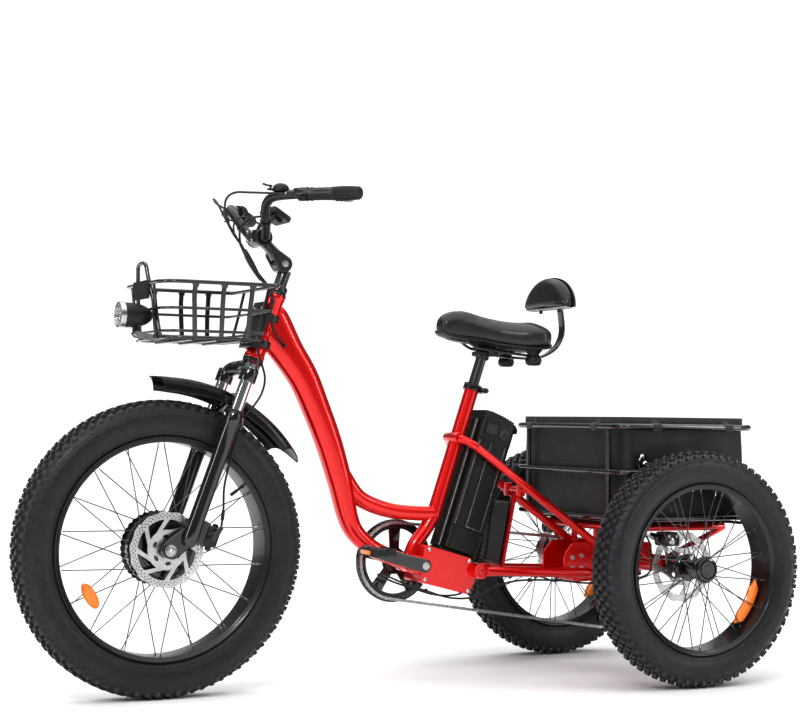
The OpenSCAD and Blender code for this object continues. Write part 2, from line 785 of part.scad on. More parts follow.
module fork_upper() {
    crown_low = 430;
    color(trim_black) at_steer() {
        both_sides() {
            translate([leg_u, leg_y, crown_low]) cylinder(d = 42, h = 33);
            swept([[leg_u, leg_y, crown_low + 26], [leg_u * 0.8, leg_y * 0.8, crown_low + 40],
                [leg_u * 0.5, leg_y * 0.45, crown_low + 45], [0, -2, crown_low + 46]],
                d = 34, side = [1, 0, 0]);
        }
        cylinder_at(0, 0, crown_low + 36, 44, head_low - 7.6 - crown_low - 36);
        cylinder_at(0, 0, crown_low + 40, steerer_d, head_high + 40 - crown_low - 40);
    }
    color("silver") at_steer() both_sides()
        cylinder_at(leg_u, leg_y, 150, 30, crown_low - 150 + 10);
}
module cylinder_at(x, y, z, d, h) {
    translate([x, y, z]) cylinder(d = d, h = h);
}

module stem_riser() {
    base = head_high + 7.6;
    color(trim_black) at_steer() difference() {
        union() {
            cylinder_at(0, 0, base, 44, 16);
            cylinder_at(0, 0, base + 15, 32, 42);
            translate([-4, -16, base + 50]) cube([34, 32, 22]);
            translate([stem_pivot.x, -16, stem_pivot.y]) rotate([-90, 0, 0])
                cylinder(d = 40, h = 32);
        }
        cylinder_at(0, 0, base - eps, steerer_d, 34);
        translate([stem_pivot.x, -20, stem_pivot.y]) rotate([-90, 0, 0])
            cylinder(d = 12 + 2 * fit_gap, h = 40);
    }
}

pivot_pt = steer_pt(stem_pivot.x, 0, stem_pivot.y);
module stem_arm() {
    color("#2c2e30") {
        across(pivot_pt.x, pivot_pt.z, -26, 26, 12);
        difference() {
            union() {
                both_sides() {
                    across(pivot_pt.x, pivot_pt.z, 16.5, 24, 42);
                    plate([[pivot_pt.x - 14, pivot_pt.z + 14], [pivot_pt.x + 13, pivot_pt.z - 13],
                        [bar_clamp.x - 2, bar_clamp.z - 18], [bar_clamp.x - 16, bar_clamp.z + 6]],
                        16.5, 23);
                }
                plate([[pivot_pt.x + 18, pivot_pt.z + 32], [pivot_pt.x + 36, pivot_pt.z + 14],
                    [bar_clamp.x + 2, bar_clamp.z - 16], [bar_clamp.x - 14, bar_clamp.z + 4]],
                    -17, 17);
                across(bar_clamp.x, bar_clamp.z, -24, 24, 42);
            }
            across(bar_clamp.x, bar_clamp.z, -30, 30, 31.8);
        }
    }
}

// Right half of the handlebar's line; the left half mirrors it
bar_half = [[377, 20, 1090], [379, 44, 1094], [388, 68, 1114], [400, 92, 1142],
    [405, 118, 1163], [396, 145, 1174], [362, 196, 1176]];
grip_dir = unit([-88, 135, -6]);
grip_start = [350, 208, 1175.4];
module handlebar() {
    tip = grip_start + grip_dir * 152;
    half = smooth(concat(bar_half, [grip_start]), 2);
    n = len(half);
    left = [for (i = [0:n - 1]) half[n - 1 - i]];
    right = [for (p = half) [p.x, -p.y, p.z]];
    color(trim_black) {
        across(bar_clamp.x, bar_clamp.z, -28, 28, 31.8);
        swept(concat([tip], left, right, [[tip.x, -tip.y, tip.z]]),
            d = 22.2, side = [1, 0, 0], sides = 12);
    }
}

// Rubber grips, a little fatter at their outer ends
module grips() {
    color("#232425") both_sides() difference() {
        union() {
            bar(grip_start + grip_dir * 20, grip_start + grip_dir * 156, 32);
            bar(grip_start + grip_dir * 146, grip_start + grip_dir * 157, 36);
        }
        bar(grip_start, grip_start + grip_dir * 152, 22.2);
    }
}

// Clamps on the handlebar that carry the levers
lever_out = unit([grip_dir.y, -grip_dir.x, 0]);
lever_pivot = grip_start + grip_dir * 2 + lever_out * 34;
bell_at = [388, 158, 1186];
module bell() {
    translate(bell_at) rotate_extrude()
        polygon([[0, 0], [20, 0], [20, 5], [17, 11], [10, 16], [0, 18]]);
    difference() {
        translate(bell_at + [0, -6, 0]) cube([33, 12, 4]);
        translate(bell_at + [26, 0, -eps]) cylinder(d = 5 + 2 * fit_gap, h = 6);
    }
    translate(bell_at - [0, 0, 10]) cylinder(d = 12, h = 12);
}
module lever_mounts() {
    color(trim_black) difference() {
        bell();
        bar([396, 145, 1174], [362, 196, 1176], 20);
    }
    color(trim_black) both_sides() difference() {
        union() {
            bar(grip_start - grip_dir * 12, grip_start + grip_dir * 12, 32);
            bar(grip_start + lever_out * 12, lever_pivot - lever_out * 10, 14);
            for (z = [-9, 5]) translate(lever_pivot + [0, 0, z]) cylinder(d = 16, h = 4);
            for (z = [-9, 5]) translate(lever_pivot + [0, 0, z])
                rotate([0, 0, atan2(-lever_out.y, -lever_out.x)]) translate([0, -5, 0])
                    cube([22, 10, 4]);
        }
        bar(grip_start - grip_dir * 20, grip_start + grip_dir * 20, 22.2);
        translate(lever_pivot - [0, 0, 20]) cylinder(d = 5 + 2 * fit_gap, h = 40);
    }
}

module brake_lever() {
    a = lever_pivot;
    color(trim_black) {
        translate(a - [0, 0, 4]) cylinder(d = 14, h = 8);
        translate(a - [0, 0, 10]) cylinder(d = 5, h = 20);
        bar(a, a + grip_dir * 24 + lever_out * 14, 8);
        bar(a + grip_dir * 24 + lever_out * 14, a + grip_dir * 104 + lever_out * 20, 9);
        translate(a + grip_dir * 104 + lever_out * 20) sphere(d = 14);
    }
}
module left_brake_lever() {
    brake_lever();
}
module right_brake_lever() {
    mirror([0, 1, 0]) brake_lever();
}

// Display on its two stalks, behind the handlebar clamp
module display() {
    color("#141516") {
        translate([336, 0, 1147]) rotate([0, -32, 0]) difference() {
            translate([-28, -46, -7]) cube([56, 92, 14]);
            translate([-20, -38, 5]) cube([40, 76, 3]);
        }
        both_sides() difference() {
            across(bar_clamp.x, bar_clamp.z, 26.5, 34, 42);
            across(bar_clamp.x, bar_clamp.z, 20, 40, 31.8);
        }
        both_sides() bar([370, 31, 1107], [350, 31, 1150], 9);
    }
}

// Thumb throttle inside the right grip
throttle_at = grip_start + grip_dir * 15;
module throttle() {
    at = [throttle_at.x, -throttle_at.y, throttle_at.z];
    along = [grip_dir.x, -grip_dir.y, grip_dir.z];
    color("#191a1b") difference() {
        union() {
            bar(at - along * 1.5, at + along * 3.5, 40);
            bar(at + along - [0, 0, 14], at + along + [-12, 7.8, -28], 5);
        }
        bar(at - along * 8, at + along * 8, 22.2 + 2 * 0.3);
    }
}

// Bell dome on the left of the bar, and its striker
module bell_striker() {
    color("#2a2b2c") {
        translate(bell_at + [26, 0, 0]) cylinder(d = 5, h = 12);
        translate(bell_at + [22, -3, 8.5]) cube([24, 6, 4]);
    }
}

// ---------- sprung fork legs ----------

module fork_lowers() {
    low = 30;
    high = 351;
    arch = [[leg_u - 20, leg_y + 2, high - 22], [leg_u - 16, leg_y - 6, high - 4],
        [leg_u - 8, leg_y - 20, high + 20], [leg_u - 4, 30, high + 28], [leg_u - 4, 0, high + 30]];
    color("#1d1e1f") at_steer() difference() {
        union() {
            both_sides() {
                cylinder_at(leg_u, leg_y, low, 39, high - low);
                cylinder_at(leg_u, leg_y, high - 4, 42, 12);
                plate([[leg_u - 16, low + 24],
                    [leg_u + 17, low + 24], [steer_offset + 16, 14], [steer_offset + 16, -16],
                    [steer_offset - 14, -16], [leg_u - 8, low - 8]], leg_y - 10, leg_y - 2);
                swept(arch, d = 16, side = [1, 0, 0], sides = 8);
            }
            plate([[leg_u - 14, 92], [leg_u - 44, 86], [leg_u - 52, 60], [leg_u - 40, 30],
                [leg_u - 10, 40]], leg_y - 8, leg_y - 2);
        }
        both_sides() {
            cylinder_at(leg_u, leg_y, 90, 30 + 2 * fit_gap, high - 60);
            across(steer_offset, 0, leg_y - 20, leg_y + 20, 2 * axle_r + 2 * fit_gap);
        }
        across(leg_u - 44, 60, leg_y - 20, leg_y + 20, 8 + 2 * fit_gap);
    }
}

// Mudguard over the front wheel, a thin arched shell
fender_from = 85.5;
fender_to = 150;
module front_fender() {
    color("#1a1b1c") {
        translate([front_x, 0, front_tyre_r]) rotate([90, 0, 0]) rotate([0, 0, fender_from])
            rotate_extrude(angle = fender_to - fender_from, $fn = 96)
                polygon([[384, -53], [396, -46], [402, -30], [404, 0], [402, 30], [396, 46],
                    [384, 53], [384, 50], [393, 44], [399, 29], [401, 0], [399, -29],
                    [393, -44], [384, -50]]);
        at_steer() translate([leg_u - 18, -16, 386]) cube([30, 32, 16]);
    }
}

module front_caliper() {
    color("#26282a") at_steer() difference() {
        translate([leg_u - 66, 44, 34]) cube([34, 34, 56]);
        translate([leg_u - 90, 48.5, 0]) cube([100, 7, 120]);
        across(leg_u - 44, 60, 70, 90, 8 + 2 * fit_gap);
    }
}
module caliper_arm() {
    color("silver") at_steer() {
        across(leg_u - 44, 60, 72, 84, 8);
        across(leg_u - 44, 60, 79, 84, 16);
        translate([leg_u - 48, 80, 60]) cube([8, 4, 40]);
    }
}

// Rear brake calipers over the inner rims of the rotors
rear_cal = [-628, 362];
rotor_y = 278;
module rear_calipers() {
    color("#26282a") both_sides() {
        difference() {
            translate([rear_cal.x - 24, rotor_y - 24, rear_cal.y - 16]) cube([48, 37, 34]);
            translate([rear_cal.x - 40, rotor_y - 3, rear_cal.y - 40]) cube([80, 6, 70]);
            across(rear_cal.x, rear_cal.y + 4, rotor_y - 30, rotor_y - 12, 8 + 2 * fit_gap);
        }
        difference() {
            plate([[-632, 352], [-632, 376], [-690, 330], [-690, 300], [-655, 300]], 217, 223);
            across(rear_x, rear_tyre_r, 210, 230, axle_tube_d - 4);
        }
        bar([-641, 220, 362], [-641, rotor_y - 23, 362], 8);
    }
}
module rear_caliper_arms() {
    color("silver") both_sides() {
        across(rear_cal.x, rear_cal.y + 4, rotor_y - 34, rotor_y - 14, 8);
        across(rear_cal.x, rear_cal.y + 4, rotor_y - 34, rotor_y - 29, 16);
        translate([rear_cal.x + 2, rotor_y - 34, rear_cal.y]) cube([38, 4, 8]);
    }
}

// ---------- wheels ----------

// Tyre: a hollow carcass open towards the rim, with a plain round tread
module tyre_ring(r, rim_r) {
    h = tyre_w / 2;
    rotate([90, 0, 0]) rotate_extrude($fn = 96) difference() {
        polygon([[rim_r + 1, -36], [rim_r + 16, -h + 7], [rim_r + 36, -h], [r - 28, -h + 4],
            [r - 8, -h + 14], [r, -h + 30], [r, h - 30], [r - 8, h - 14], [r - 28, h - 4],
            [rim_r + 36, h], [rim_r + 16, h - 7], [rim_r + 1, 36]]);
        polygon([[rim_r - 1, -30], [rim_r + 20, -h + 12], [r - 28, -h + 10],
            [r - 16, -h + 22], [r - 16, h - 22], [r - 28, h - 10], [rim_r + 20, h - 12],
            [rim_r - 1, 30]]);
    }
}

// Rim with a hooked edge on each side
module rim_ring(rim_r) {
    h = rim_w / 2;
    rotate([90, 0, 0]) rotate_extrude($fn = 96) polygon([[rim_r - 12, -h + 6],
        [rim_r, -h], [rim_r + 1, -h + 3], [rim_r + 1, -36.4], [rim_r - 6, -34],
        [rim_r - 6, 34], [rim_r + 1, 36.4], [rim_r + 1, h - 3], [rim_r, h],
        [rim_r - 12, h - 6]]);
}

// Crossed spokes from two hub flanges to the rim
module spoke_set(flange_r, flange_y, rim_r, cross_deg) {
    pairs = spoke_count / 4;
    for (s = [-1, 1], i = [0:pairs - 1], c = [-1, 1]) {
        a = 360 / pairs * i + (s > 0 ? 0 : 180 / pairs);
        b = a + c * cross_deg;
        e = a + c * 90 / pairs;
        bar([flange_r * cos(b), s * flange_y, flange_r * sin(b)],
            [(rim_r - 8) * cos(e), s * 14, (rim_r - 8) * sin(e)], 2.4);
    }
}

module rotor(y) {
    across(0, 0, y - 1, y + 1, rotor_d);
}

module front_tyre() {
    color("#1c1c1c") translate([front_x, 0, front_tyre_r])
        tyre_ring(front_tyre_r, front_rim_r);
}
module front_wheel() {
    color("#2a2a2a") translate([front_x, 0, front_tyre_r]) {
        rim_ring(front_rim_r);
        spoke_set(84, 28, front_rim_r, 14);
    }
}
module hub_motor() {
    color("#222222") translate([front_x, 0, front_tyre_r]) {
        across(0, 0, -40, 24, 164);
        across(0, 0, -26, -22, 180);
        across(0, 0, 22, 26, 180);
        across(0, 0, 23, 52, 70);
        across(0, 0, -50, -39, 60);
        across(0, 0, -leg_y - 20, leg_y + 20, 2 * axle_r);
        rotor(52);
    }
}
module rear_tyre() {
    translate([rear_x, rear_y, rear_tyre_r]) tyre_ring(rear_tyre_r, rear_rim_r);
}
module rear_wheel() {
    translate([rear_x, rear_y, rear_tyre_r]) {
        rim_ring(rear_rim_r);
        spoke_set(30, 34, rear_rim_r, 42);
        across(0, 0, -46, 42, 40);
        across(0, 0, -36, -32, 68);
        across(0, 0, 32, 36, 68);
        across(0, 0, 40, hub_out, 60);
        across(0, 0, -rear_y + 4, -40, 2 * axle_r);
        rotor(rotor_y - rear_y);
        across(0, 0, rotor_y - rear_y - 1, -45, 44);
    }
}
module rear_left_tyre() {
    color("#1c1c1c") rear_tyre();
}
module rear_left_wheel() {
    color("#2a2a2a") rear_wheel();
}
module rear_right_tyre() {
    color("#1c1c1c") mirror([0, 1, 0]) rear_tyre();
}
module rear_right_wheel() {
    color("#2a2a2a") mirror([0, 1, 0]) rear_wheel();
}

// ---------- cables ----------

// Cables held along the frame: under the down tube's foot and along the left chain stay
frame_route_left = [[34, 30, 268], [-16, 38, 246], [-67, 40, 230], [-136, 40, 210],
    [-205, 42, 210], [-262, 50, 236], [-330, 56, 249], [-440, 60, 246], [-520, 74, 238],
    [-585, 112, 244], [-640, 165, 262], [-630, 205, 300], [-606, 230, 350], [-584, 242, 372]];
frame_route_right = [[34, -30, 268], [-16, -36, 246], [-67, -38, 230], [-136, -38, 210],
    [-205, -40, 210], [-262, -46, 236], [-330, -44, 250], [-440, -44, 248], [-500, -60, 232],
    [-560, -104, 236], [-640, -165, 262], [-630, -205, 300], [-606, -230, 350],
    [-584, -242, 372]];
module frame_cables() {
    color("#101010") {
        swept(frame_route_left, d = 5, side = [0, 0, 1], sides = 8);
        swept(frame_route_right, d = 5, side = [0, 0, 1], sides = 8);
    }
}

// Bundle from the handlebar into the down tube, and the cable down to the front brake
bundle_route = [[402, 14, 1122], [428, 22, 1102], [436, 28, 1070], [417, 30, 1036],
    [394, 32, 1003], [364, 38, 965], [361, 50, 935], [366, 52, 905], [356, 46, 868],
    [338, 38, 846], [318, 28, 832]];
brake_route = [[402, -14, 1122], [430, -22, 1100], [434, -26, 1066], [412, -22, 1030],
    [386, -8, 1000], [362, 20, 972], [362, 60, 940], [378, 64, 885], [396, 64, 848],
    [403, 65, 820], [396, 66, 794], [384, 66, 752], [390, 64, 716], [409, 64, 686],
    [438, 62, 650], [458, 66, 600], [469, 70, 560], [486, 76, 494], [484, 84, 434],
    [480, 86, 414]];
module bar_cables() {
    color("#101010") {
        swept(bundle_route, d = 8, side = [0, 1, 0], sides = 8);
        swept(brake_route, d = 5, side = [0, 1, 0], sides = 8);
    }
}

head_tube();
headset();
down_tube();
step_tube();
seat_tube();
controller_case();
controller_cover();
battery_dock();
wiring_box();
rear_frame();
axle_carrier();
rack();
frame_bolts();
front_basket();
basket_bracket();
cargo_basket();
cargo_liner();
chain();
derailleur();
rear_calipers();
seat_clamp();
frame_cables();
lamp_bracket();
battery();
headlight();
seat_clamp_lever();
seatpost();
saddle_frame();
saddle_pad();
backrest_arm();
backrest_pad();
crank_arms();
chainring();
left_pedal();
right_pedal();
cassette();
fork_upper();
stem_riser();
bar_cables();
stem_arm();
handlebar();
grips();
lever_mounts();
display();
left_brake_lever();
right_brake_lever();
throttle();
bell_striker();
fork_lowers();
front_fender();
front_caliper();
caliper_arm();
rear_caliper_arms();
front_tyre();
front_wheel();
hub_motor();
rear_left_tyre();
rear_left_wheel();
rear_right_tyre();
rear_right_wheel();
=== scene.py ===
"""Adult fat-tyre electric tricycle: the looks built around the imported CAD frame.

Shapes are drawn in millimetres in the tricycle's own frame (+X forward, +Y to the rider's
left, +Z up) and become metres when a piece is made.
"""
import math

import bpy
from mathutils import Matrix, Vector
from mathutils.geometry import delaunay_2d_cdt


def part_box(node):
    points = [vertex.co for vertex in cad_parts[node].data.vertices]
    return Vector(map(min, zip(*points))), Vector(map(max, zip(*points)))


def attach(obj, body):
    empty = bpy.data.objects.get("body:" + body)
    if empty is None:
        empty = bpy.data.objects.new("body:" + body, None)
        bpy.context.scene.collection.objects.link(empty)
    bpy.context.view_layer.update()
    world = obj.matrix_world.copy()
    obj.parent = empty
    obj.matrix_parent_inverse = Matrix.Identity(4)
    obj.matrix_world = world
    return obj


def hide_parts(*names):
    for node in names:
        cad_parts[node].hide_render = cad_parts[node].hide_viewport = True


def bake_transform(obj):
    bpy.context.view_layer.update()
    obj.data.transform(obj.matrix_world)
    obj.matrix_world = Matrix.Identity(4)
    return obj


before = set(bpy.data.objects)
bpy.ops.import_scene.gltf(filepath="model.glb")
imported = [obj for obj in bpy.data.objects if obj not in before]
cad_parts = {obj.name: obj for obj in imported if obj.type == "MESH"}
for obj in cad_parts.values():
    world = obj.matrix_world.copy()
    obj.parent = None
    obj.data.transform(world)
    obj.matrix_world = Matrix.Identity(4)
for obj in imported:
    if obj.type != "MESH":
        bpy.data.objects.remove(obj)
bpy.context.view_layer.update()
MM = 0.001
TURN = 2 * math.pi


# ---------- places taken from the frame ----------


def middle(node):
    """Centre of a CAD node's box, in millimetres."""
    low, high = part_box(node)
    return (low + high) / 2 / MM


def size_of(node):
    """Size of a CAD node's box, in millimetres."""
    low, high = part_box(node)
    return (high - low) / MM


FRONT = middle("front_tyre")
REAR = middle("rear_left_tyre")
FRONT_R = size_of("front_tyre").z / 2
REAR_R = size_of("rear_left_tyre").z / 2
FRONT_RIM = 261
REAR_RIM = 211
ROTOR_Y = 278
BB = Vector((-39, 0, 296))
STEER = (Matrix.Translation((558.68, 0, 327.14))
         @ Matrix.Rotation(-math.radians(20), 4, "Y"))
SEAT = Matrix.Translation((-213, 0, 735)) @ Matrix.Rotation(-math.radians(18.5), 4, "Y")
LEG_U, LEG_Y, HEAD_LOW, HEAD_HIGH = 26, 78, 501, 666


# ---------- curves ----------


def curve(points, steps=6, closed=False):
    """Smooth curve through points, which may carry extra numbers such as a width."""
    n = len(points)
    out = []
    for i in range(n if closed else n - 1):
        ids = [i - 1, i, i + 1, i + 2]
        a, b, c, d = [points[k % n] if closed else points[max(0, min(n - 1, k))] for k in ids]
        for j in range(steps):
            t = j / steps
            out.append(tuple(
                0.5 * (2 * q + (r - p) * t + (2 * p - 5 * q + 4 * r - s) * t * t
                       + (3 * q - p - 3 * r + s) * t ** 3) for p, q, r, s in zip(a, b, c, d)))
    return out if closed else out + [tuple(points[-1])]


def round_corners(points, r, steps=6, closed=True):
    """The outline with its corners rounded over a length r."""
    out = []
    n = len(points)
    for i in range(n):
        b = Vector(points[i])
        if not closed and i in (0, n - 1):
            out.append(tuple(b))
            continue
        a, c = Vector(points[i - 1]), Vector(points[(i + 1) % n])
        ra = min(r, (a - b).length * 0.49)
        rc = min(r, (c - b).length * 0.49)
        s, e = b + (a - b).normalized() * ra, b + (c - b).normalized() * rc
        for j in range(steps + 1):
            t = j / steps
            out.append(tuple((1 - t) ** 2 * s + 2 * t * (1 - t) * b + t * t * e))
    return out


def arc(r, a0, a1, n, centre=(0, 0)):
    """Points of an arc, with its angles in degrees."""
    return [(centre[0] + r * math.cos(math.radians(a0 + (a1 - a0) * i / n)),
             centre[1] + r * math.sin(math.radians(a0 + (a1 - a0) * i / n)))
            for i in range(n + 1)]


def circle(r, n=32, centre=(0, 0)):
    """Points of a full circle, without the repeated last one."""
    return arc(r, 0, 360, n, centre)[:-1]


def inset(outline, d):
    """The closed outline moved inwards by d; the outline runs anticlockwise."""
    out = []
    n = len(outline)
    for i in range(n):
        a, b, c = (Vector(outline[k % n]) for k in (i - 1, i, i + 1))
        u, v = (b - a).normalized(), (c - b).normalized()
        nu, nv = Vector((-u.y, u.x)), Vector((-v.y, v.x))
        m = nu + nv
        m = m.normalized() if m.length > 1e-6 else nu
        out.append(tuple(b + m * d / max(0.4, m.dot(nu))))
    return out


# ---------- shapes ----------


def inside(p, outline):
    """Whether a flat point is inside an outline."""
    odd = False
    for i in range(len(outline)):
        (ax, ay), (bx, by) = outline[i - 1], outline[i]
        if (ay > p[1]) != (by > p[1]) and p[0] < ax + (bx - ax) * (p[1] - ay) / (by - ay):
            odd = not odd
    return odd


class Shape:
    """Points and faces of one piece, in millimetres."""

    def __init__(self):
        self.points, self.faces = [], []

    def add(self, points, faces, place=None):
        base = len(self.points)
        self.points += [place @ Vector(p) if place else Vector(p) for p in points]
        self.faces += [[base + i for i in f] for f in faces]

    def rings(self, rings, closed=False, place=None):
        """Skin over rings that all have the same number of points, with ends unless closed."""
        n, k = len(rings), len(rings[0])
        faces = []
        for i in range(n if closed else n - 1):
            j = (i + 1) % n
            faces += [(i * k + m, i * k + (m + 1) % k, j * k + (m + 1) % k, j * k + m)
                      for m in range(k)]
        if not closed:
            faces += [tuple(reversed(range(k))), tuple(range((n - 1) * k, n * k))]
        self.add([p for r in rings for p in r], faces, place)

    def tube(self, path, r, sides=16, closed=False, side=None, power=2.0):
        """Tube along a path; r is a radius, a list of them, or (depth, width) radii."""
        pts = [Vector(p[:3]) for p in path]
        n = len(pts)
        radii = r if isinstance(r, list) else [r] * n
        rings = []
        up = None
        for i, p in enumerate(pts):
            a = pts[(i - 1) % n] if closed or i else p
            b = pts[(i + 1) % n] if closed or i < n - 1 else p
            t = (b - a).normalized()
            if side is not None:
                s = t.cross(Vector(side)).normalized()
            elif up is None:
                s = t.orthogonal().normalized()
            else:
                s = (up - t * up.dot(t)).normalized()
            up = s
            w = s.cross(t)
            ra, rb = radii[i] if isinstance(radii[i], tuple) else (radii[i], radii[i])
            ring = []
            for k in range(sides):
                c, q = math.cos(TURN * k / sides), math.sin(TURN * k / sides)
                c = math.copysign(abs(c) ** (2 / power), c)
                q = math.copysign(abs(q) ** (2 / power), q)
                ring.append(p + s * ra * c + w * rb * q)
            rings.append(ring)
        self.rings(rings, closed)

    def lathe(self, profile, place=None, sides=64, loop=False):
        """Turns (radius, height) points about Z."""
        points, rows, faces = [], [], []
        for r, h in profile:
            if r < 1e-6:
                rows.append([len(points)])
                points.append((0, 0, h))
            else:
                rows.append(list(range(len(points), len(points) + sides)))
                points += [(r * math.cos(TURN * k / sides), r * math.sin(TURN * k / sides), h)
                           for k in range(sides)]
        pairs = list(zip(rows, rows[1:])) + ([(rows[-1], rows[0])] if loop else [])
        for a, b in pairs:
            for k in range(sides):
                m = (k + 1) % sides
                if len(a) == 1 and len(b) > 1:
                    faces.append((a[0], b[m], b[k]))
                elif len(b) == 1 and len(a) > 1:
                    faces.append((a[k], a[m], b[0]))
                elif len(a) > 1:
                    faces.append((a[k], a[m], b[m], b[k]))
        self.add(points, faces, place)

    def prism(self, outline, z0, z1, place=None, chamfer=0.0):
        """Outline in X and Y raised from z0 to z1, with its edges cut by chamfer."""
        levels = [(z0, chamfer), (z0 + chamfer, 0), (z1 - chamfer, 0), (z1, chamfer)]
        levels = levels if chamfer else [(z0, 0), (z1, 0)]
        self.rings([[(x, y, z) for x, y in (inset(outline, d) if d else outline)]
                    for z, d in levels], place=place)

    def sheet(self, outlines, z0, z1, place=None):
        """Flat plate with holes: the first outline is its edge, the others are holes."""
        pts, edges = [], []
        for o in outlines:
            base = len(pts)
            pts += [Vector(p) for p in o]
            edges += [(base + i, base + (i + 1) % len(o)) for i in range(len(o))]
        verts, _, tris, _, _, _ = delaunay_2d_cdt(pts, edges, [], 0, 1e-5)
        keep = []
        for t in tris:
            mid = sum((verts[i] for i in t), Vector((0, 0))) / 3
            if inside(mid, outlines[0]) and not any(inside(mid, o) for o in outlines[1:]):
                keep.append(t)
        tris = keep
        n = len(verts)
        count = {}
        for t in tris:
            for i in range(3):
                key = (t[i], t[(i + 1) % 3])
                count[key] = count.get(key, 0) + 1
        walls = [(a, b, b + n, a + n) for a, b in count if (b, a) not in count]
        faces = [tuple(i + n for i in t) for t in tris] + [tuple(reversed(t)) for t in tris]
        self.add([(v.x, v.y, z0) for v in verts] + [(v.x, v.y, z1) for v in verts],
                 faces + walls, place)

    def block(self, size, centre, place=None, r=2.0):
        """Box with round upright edges and cut top and bottom edges."""
        x, y, z = (s / 2 for s in size)
        outline = round_corners([(x, y), (-x, y), (-x, -y), (x, -y)], r * 1.5, 3)
        at = Matrix.Translation(centre)
        self.prism(outline, -z, z, place @ at if place else at, min(r * 0.5, z * 0.4))

    def ball(self, r, centre, sides=24):
        """Sphere about a point."""
        rows = sides // 2
        self.lathe([(r * math.sin(math.pi * i / rows), -r * math.cos(math.pi * i / rows))
                    for i in range(rows + 1)], Matrix.Translation(centre), sides)

    def rod(self, a, b, r, sides=12):
        """Straight rod with eased ends."""
        a, b = Vector(a), Vector(b)
        h = (b - a).length
        e = min(r * 0.3, h * 0.2)
        prof = [(0, 0), (r - e, 0), (r, e), (r, h - e), (r - e, h), (0, h)]
        self.lathe(prof, aim(a, b - a), sides)

    def bolt(self, at, axis, r=5.0, h=4.0):
        """Bolt head with a hexagon socket, standing on a point."""
        place = aim(Vector(at), Vector(axis))
        n = 24
        hexa = [math.cos(math.pi / 6) / math.cos((TURN * k / n) % (math.pi / 3) - math.pi / 6)
                for k in range(n)]
        rows = [(r, 0, 0), (r, h * 0.75, 0), (r * 0.88, h, 0), (r * 0.5, h, 1),
                (r * 0.5, h * 0.35, 1)]
        self.rings([[(q * (hexa[k] if hx else 1) * math.cos(TURN * k / n),
                      q * (hexa[k] if hx else 1) * math.sin(TURN * k / n), z)
                     for k in range(n)] for q, z, hx in rows], place=place)

    def nut(self, at, axis, r=8.0, h=7.0):
        """Six-sided nut with a washer under it."""
        place = aim(Vector(at), Vector(axis))
        self.lathe([(r * 0.3, 0), (r * 1.25, 0), (r * 1.25, 1.4), (r * 0.3, 1.4)], place, 32, True)
        self.prism(circle(r, 6), 1.4, h, place, 0.9)

    def bead(self, at, axis, r, size=2.6, ripples=40):
        """Weld bead round a tube that meets another piece."""
        place = aim(Vector(at), Vector(axis))
        n = ripples * 3
        path = [place @ Vector((r * math.cos(TURN * i / n), r * math.sin(TURN * i / n), 0))
                for i in range(n)]
        self.tube(path, [size * (0.85 + 0.15 * math.cos(TURN * i / 3)) for i in range(n)], 8, True,
                  side=axis)

    def mirrored(self):
        """Adds the mirror image of everything so far across the middle plane."""
        n = len(self.points)
        self.points += [Vector((p.x, -p.y, p.z)) for p in self.points]
        self.faces += [[n + i for i in reversed(f)] for f in self.faces]


def aim(at, direction):
    """Matrix that puts Z along a direction at a point."""
    return (Matrix.Translation(at)
            @ Vector(direction).to_track_quat("Z", "Y").to_matrix().to_4x4())


# Turns a shape drawn in X and Y into one standing in X and Z, raised towards +Y
UPRIGHT = Matrix(((1, 0, 0, 0), (0, 0, 1, 0), (0, 1, 0, 0), (0, 0, 0, 1)))


def upright(at):
    """The same turn at a point: Z runs along +Y, as a wheel's axle does."""
    return Matrix.Translation(at) @ UPRIGHT


def piece(name, shape, material, body, nodes=(), angle=35):
    """Makes an object of a shape, in metres, and puts it on its CAD body."""
    mesh = bpy.data.meshes.new(name)
    mesh.from_pydata([p * MM for p in shape.points], [], shape.faces)
    mesh.materials.append(material)
    obj = bpy.data.objects.new(name, mesh)
    bpy.context.scene.collection.objects.link(obj)
    tidy(obj, angle)
    if body:
        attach(obj, body)
    if nodes:
        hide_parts(*([nodes] if isinstance(nodes, str) else nodes))
    return obj


def tidy(obj, angle=35):
    """Outward faces, smooth shading and sharp edges where the surface turns."""
    bpy.context.view_layer.objects.active = obj
    for o in bpy.context.selected_objects:
        o.select_set(False)
    obj.select_set(True)
    bpy.ops.object.mode_set(mode="EDIT")
    bpy.ops.mesh.select_all(action="SELECT")
    bpy.ops.mesh.normals_make_consistent(inside=False)
    bpy.ops.object.mode_set(mode="OBJECT")
    obj.data.shade_smooth()
    obj.data.set_sharp_from_angle(angle=math.radians(angle))


# ---------- materials ----------


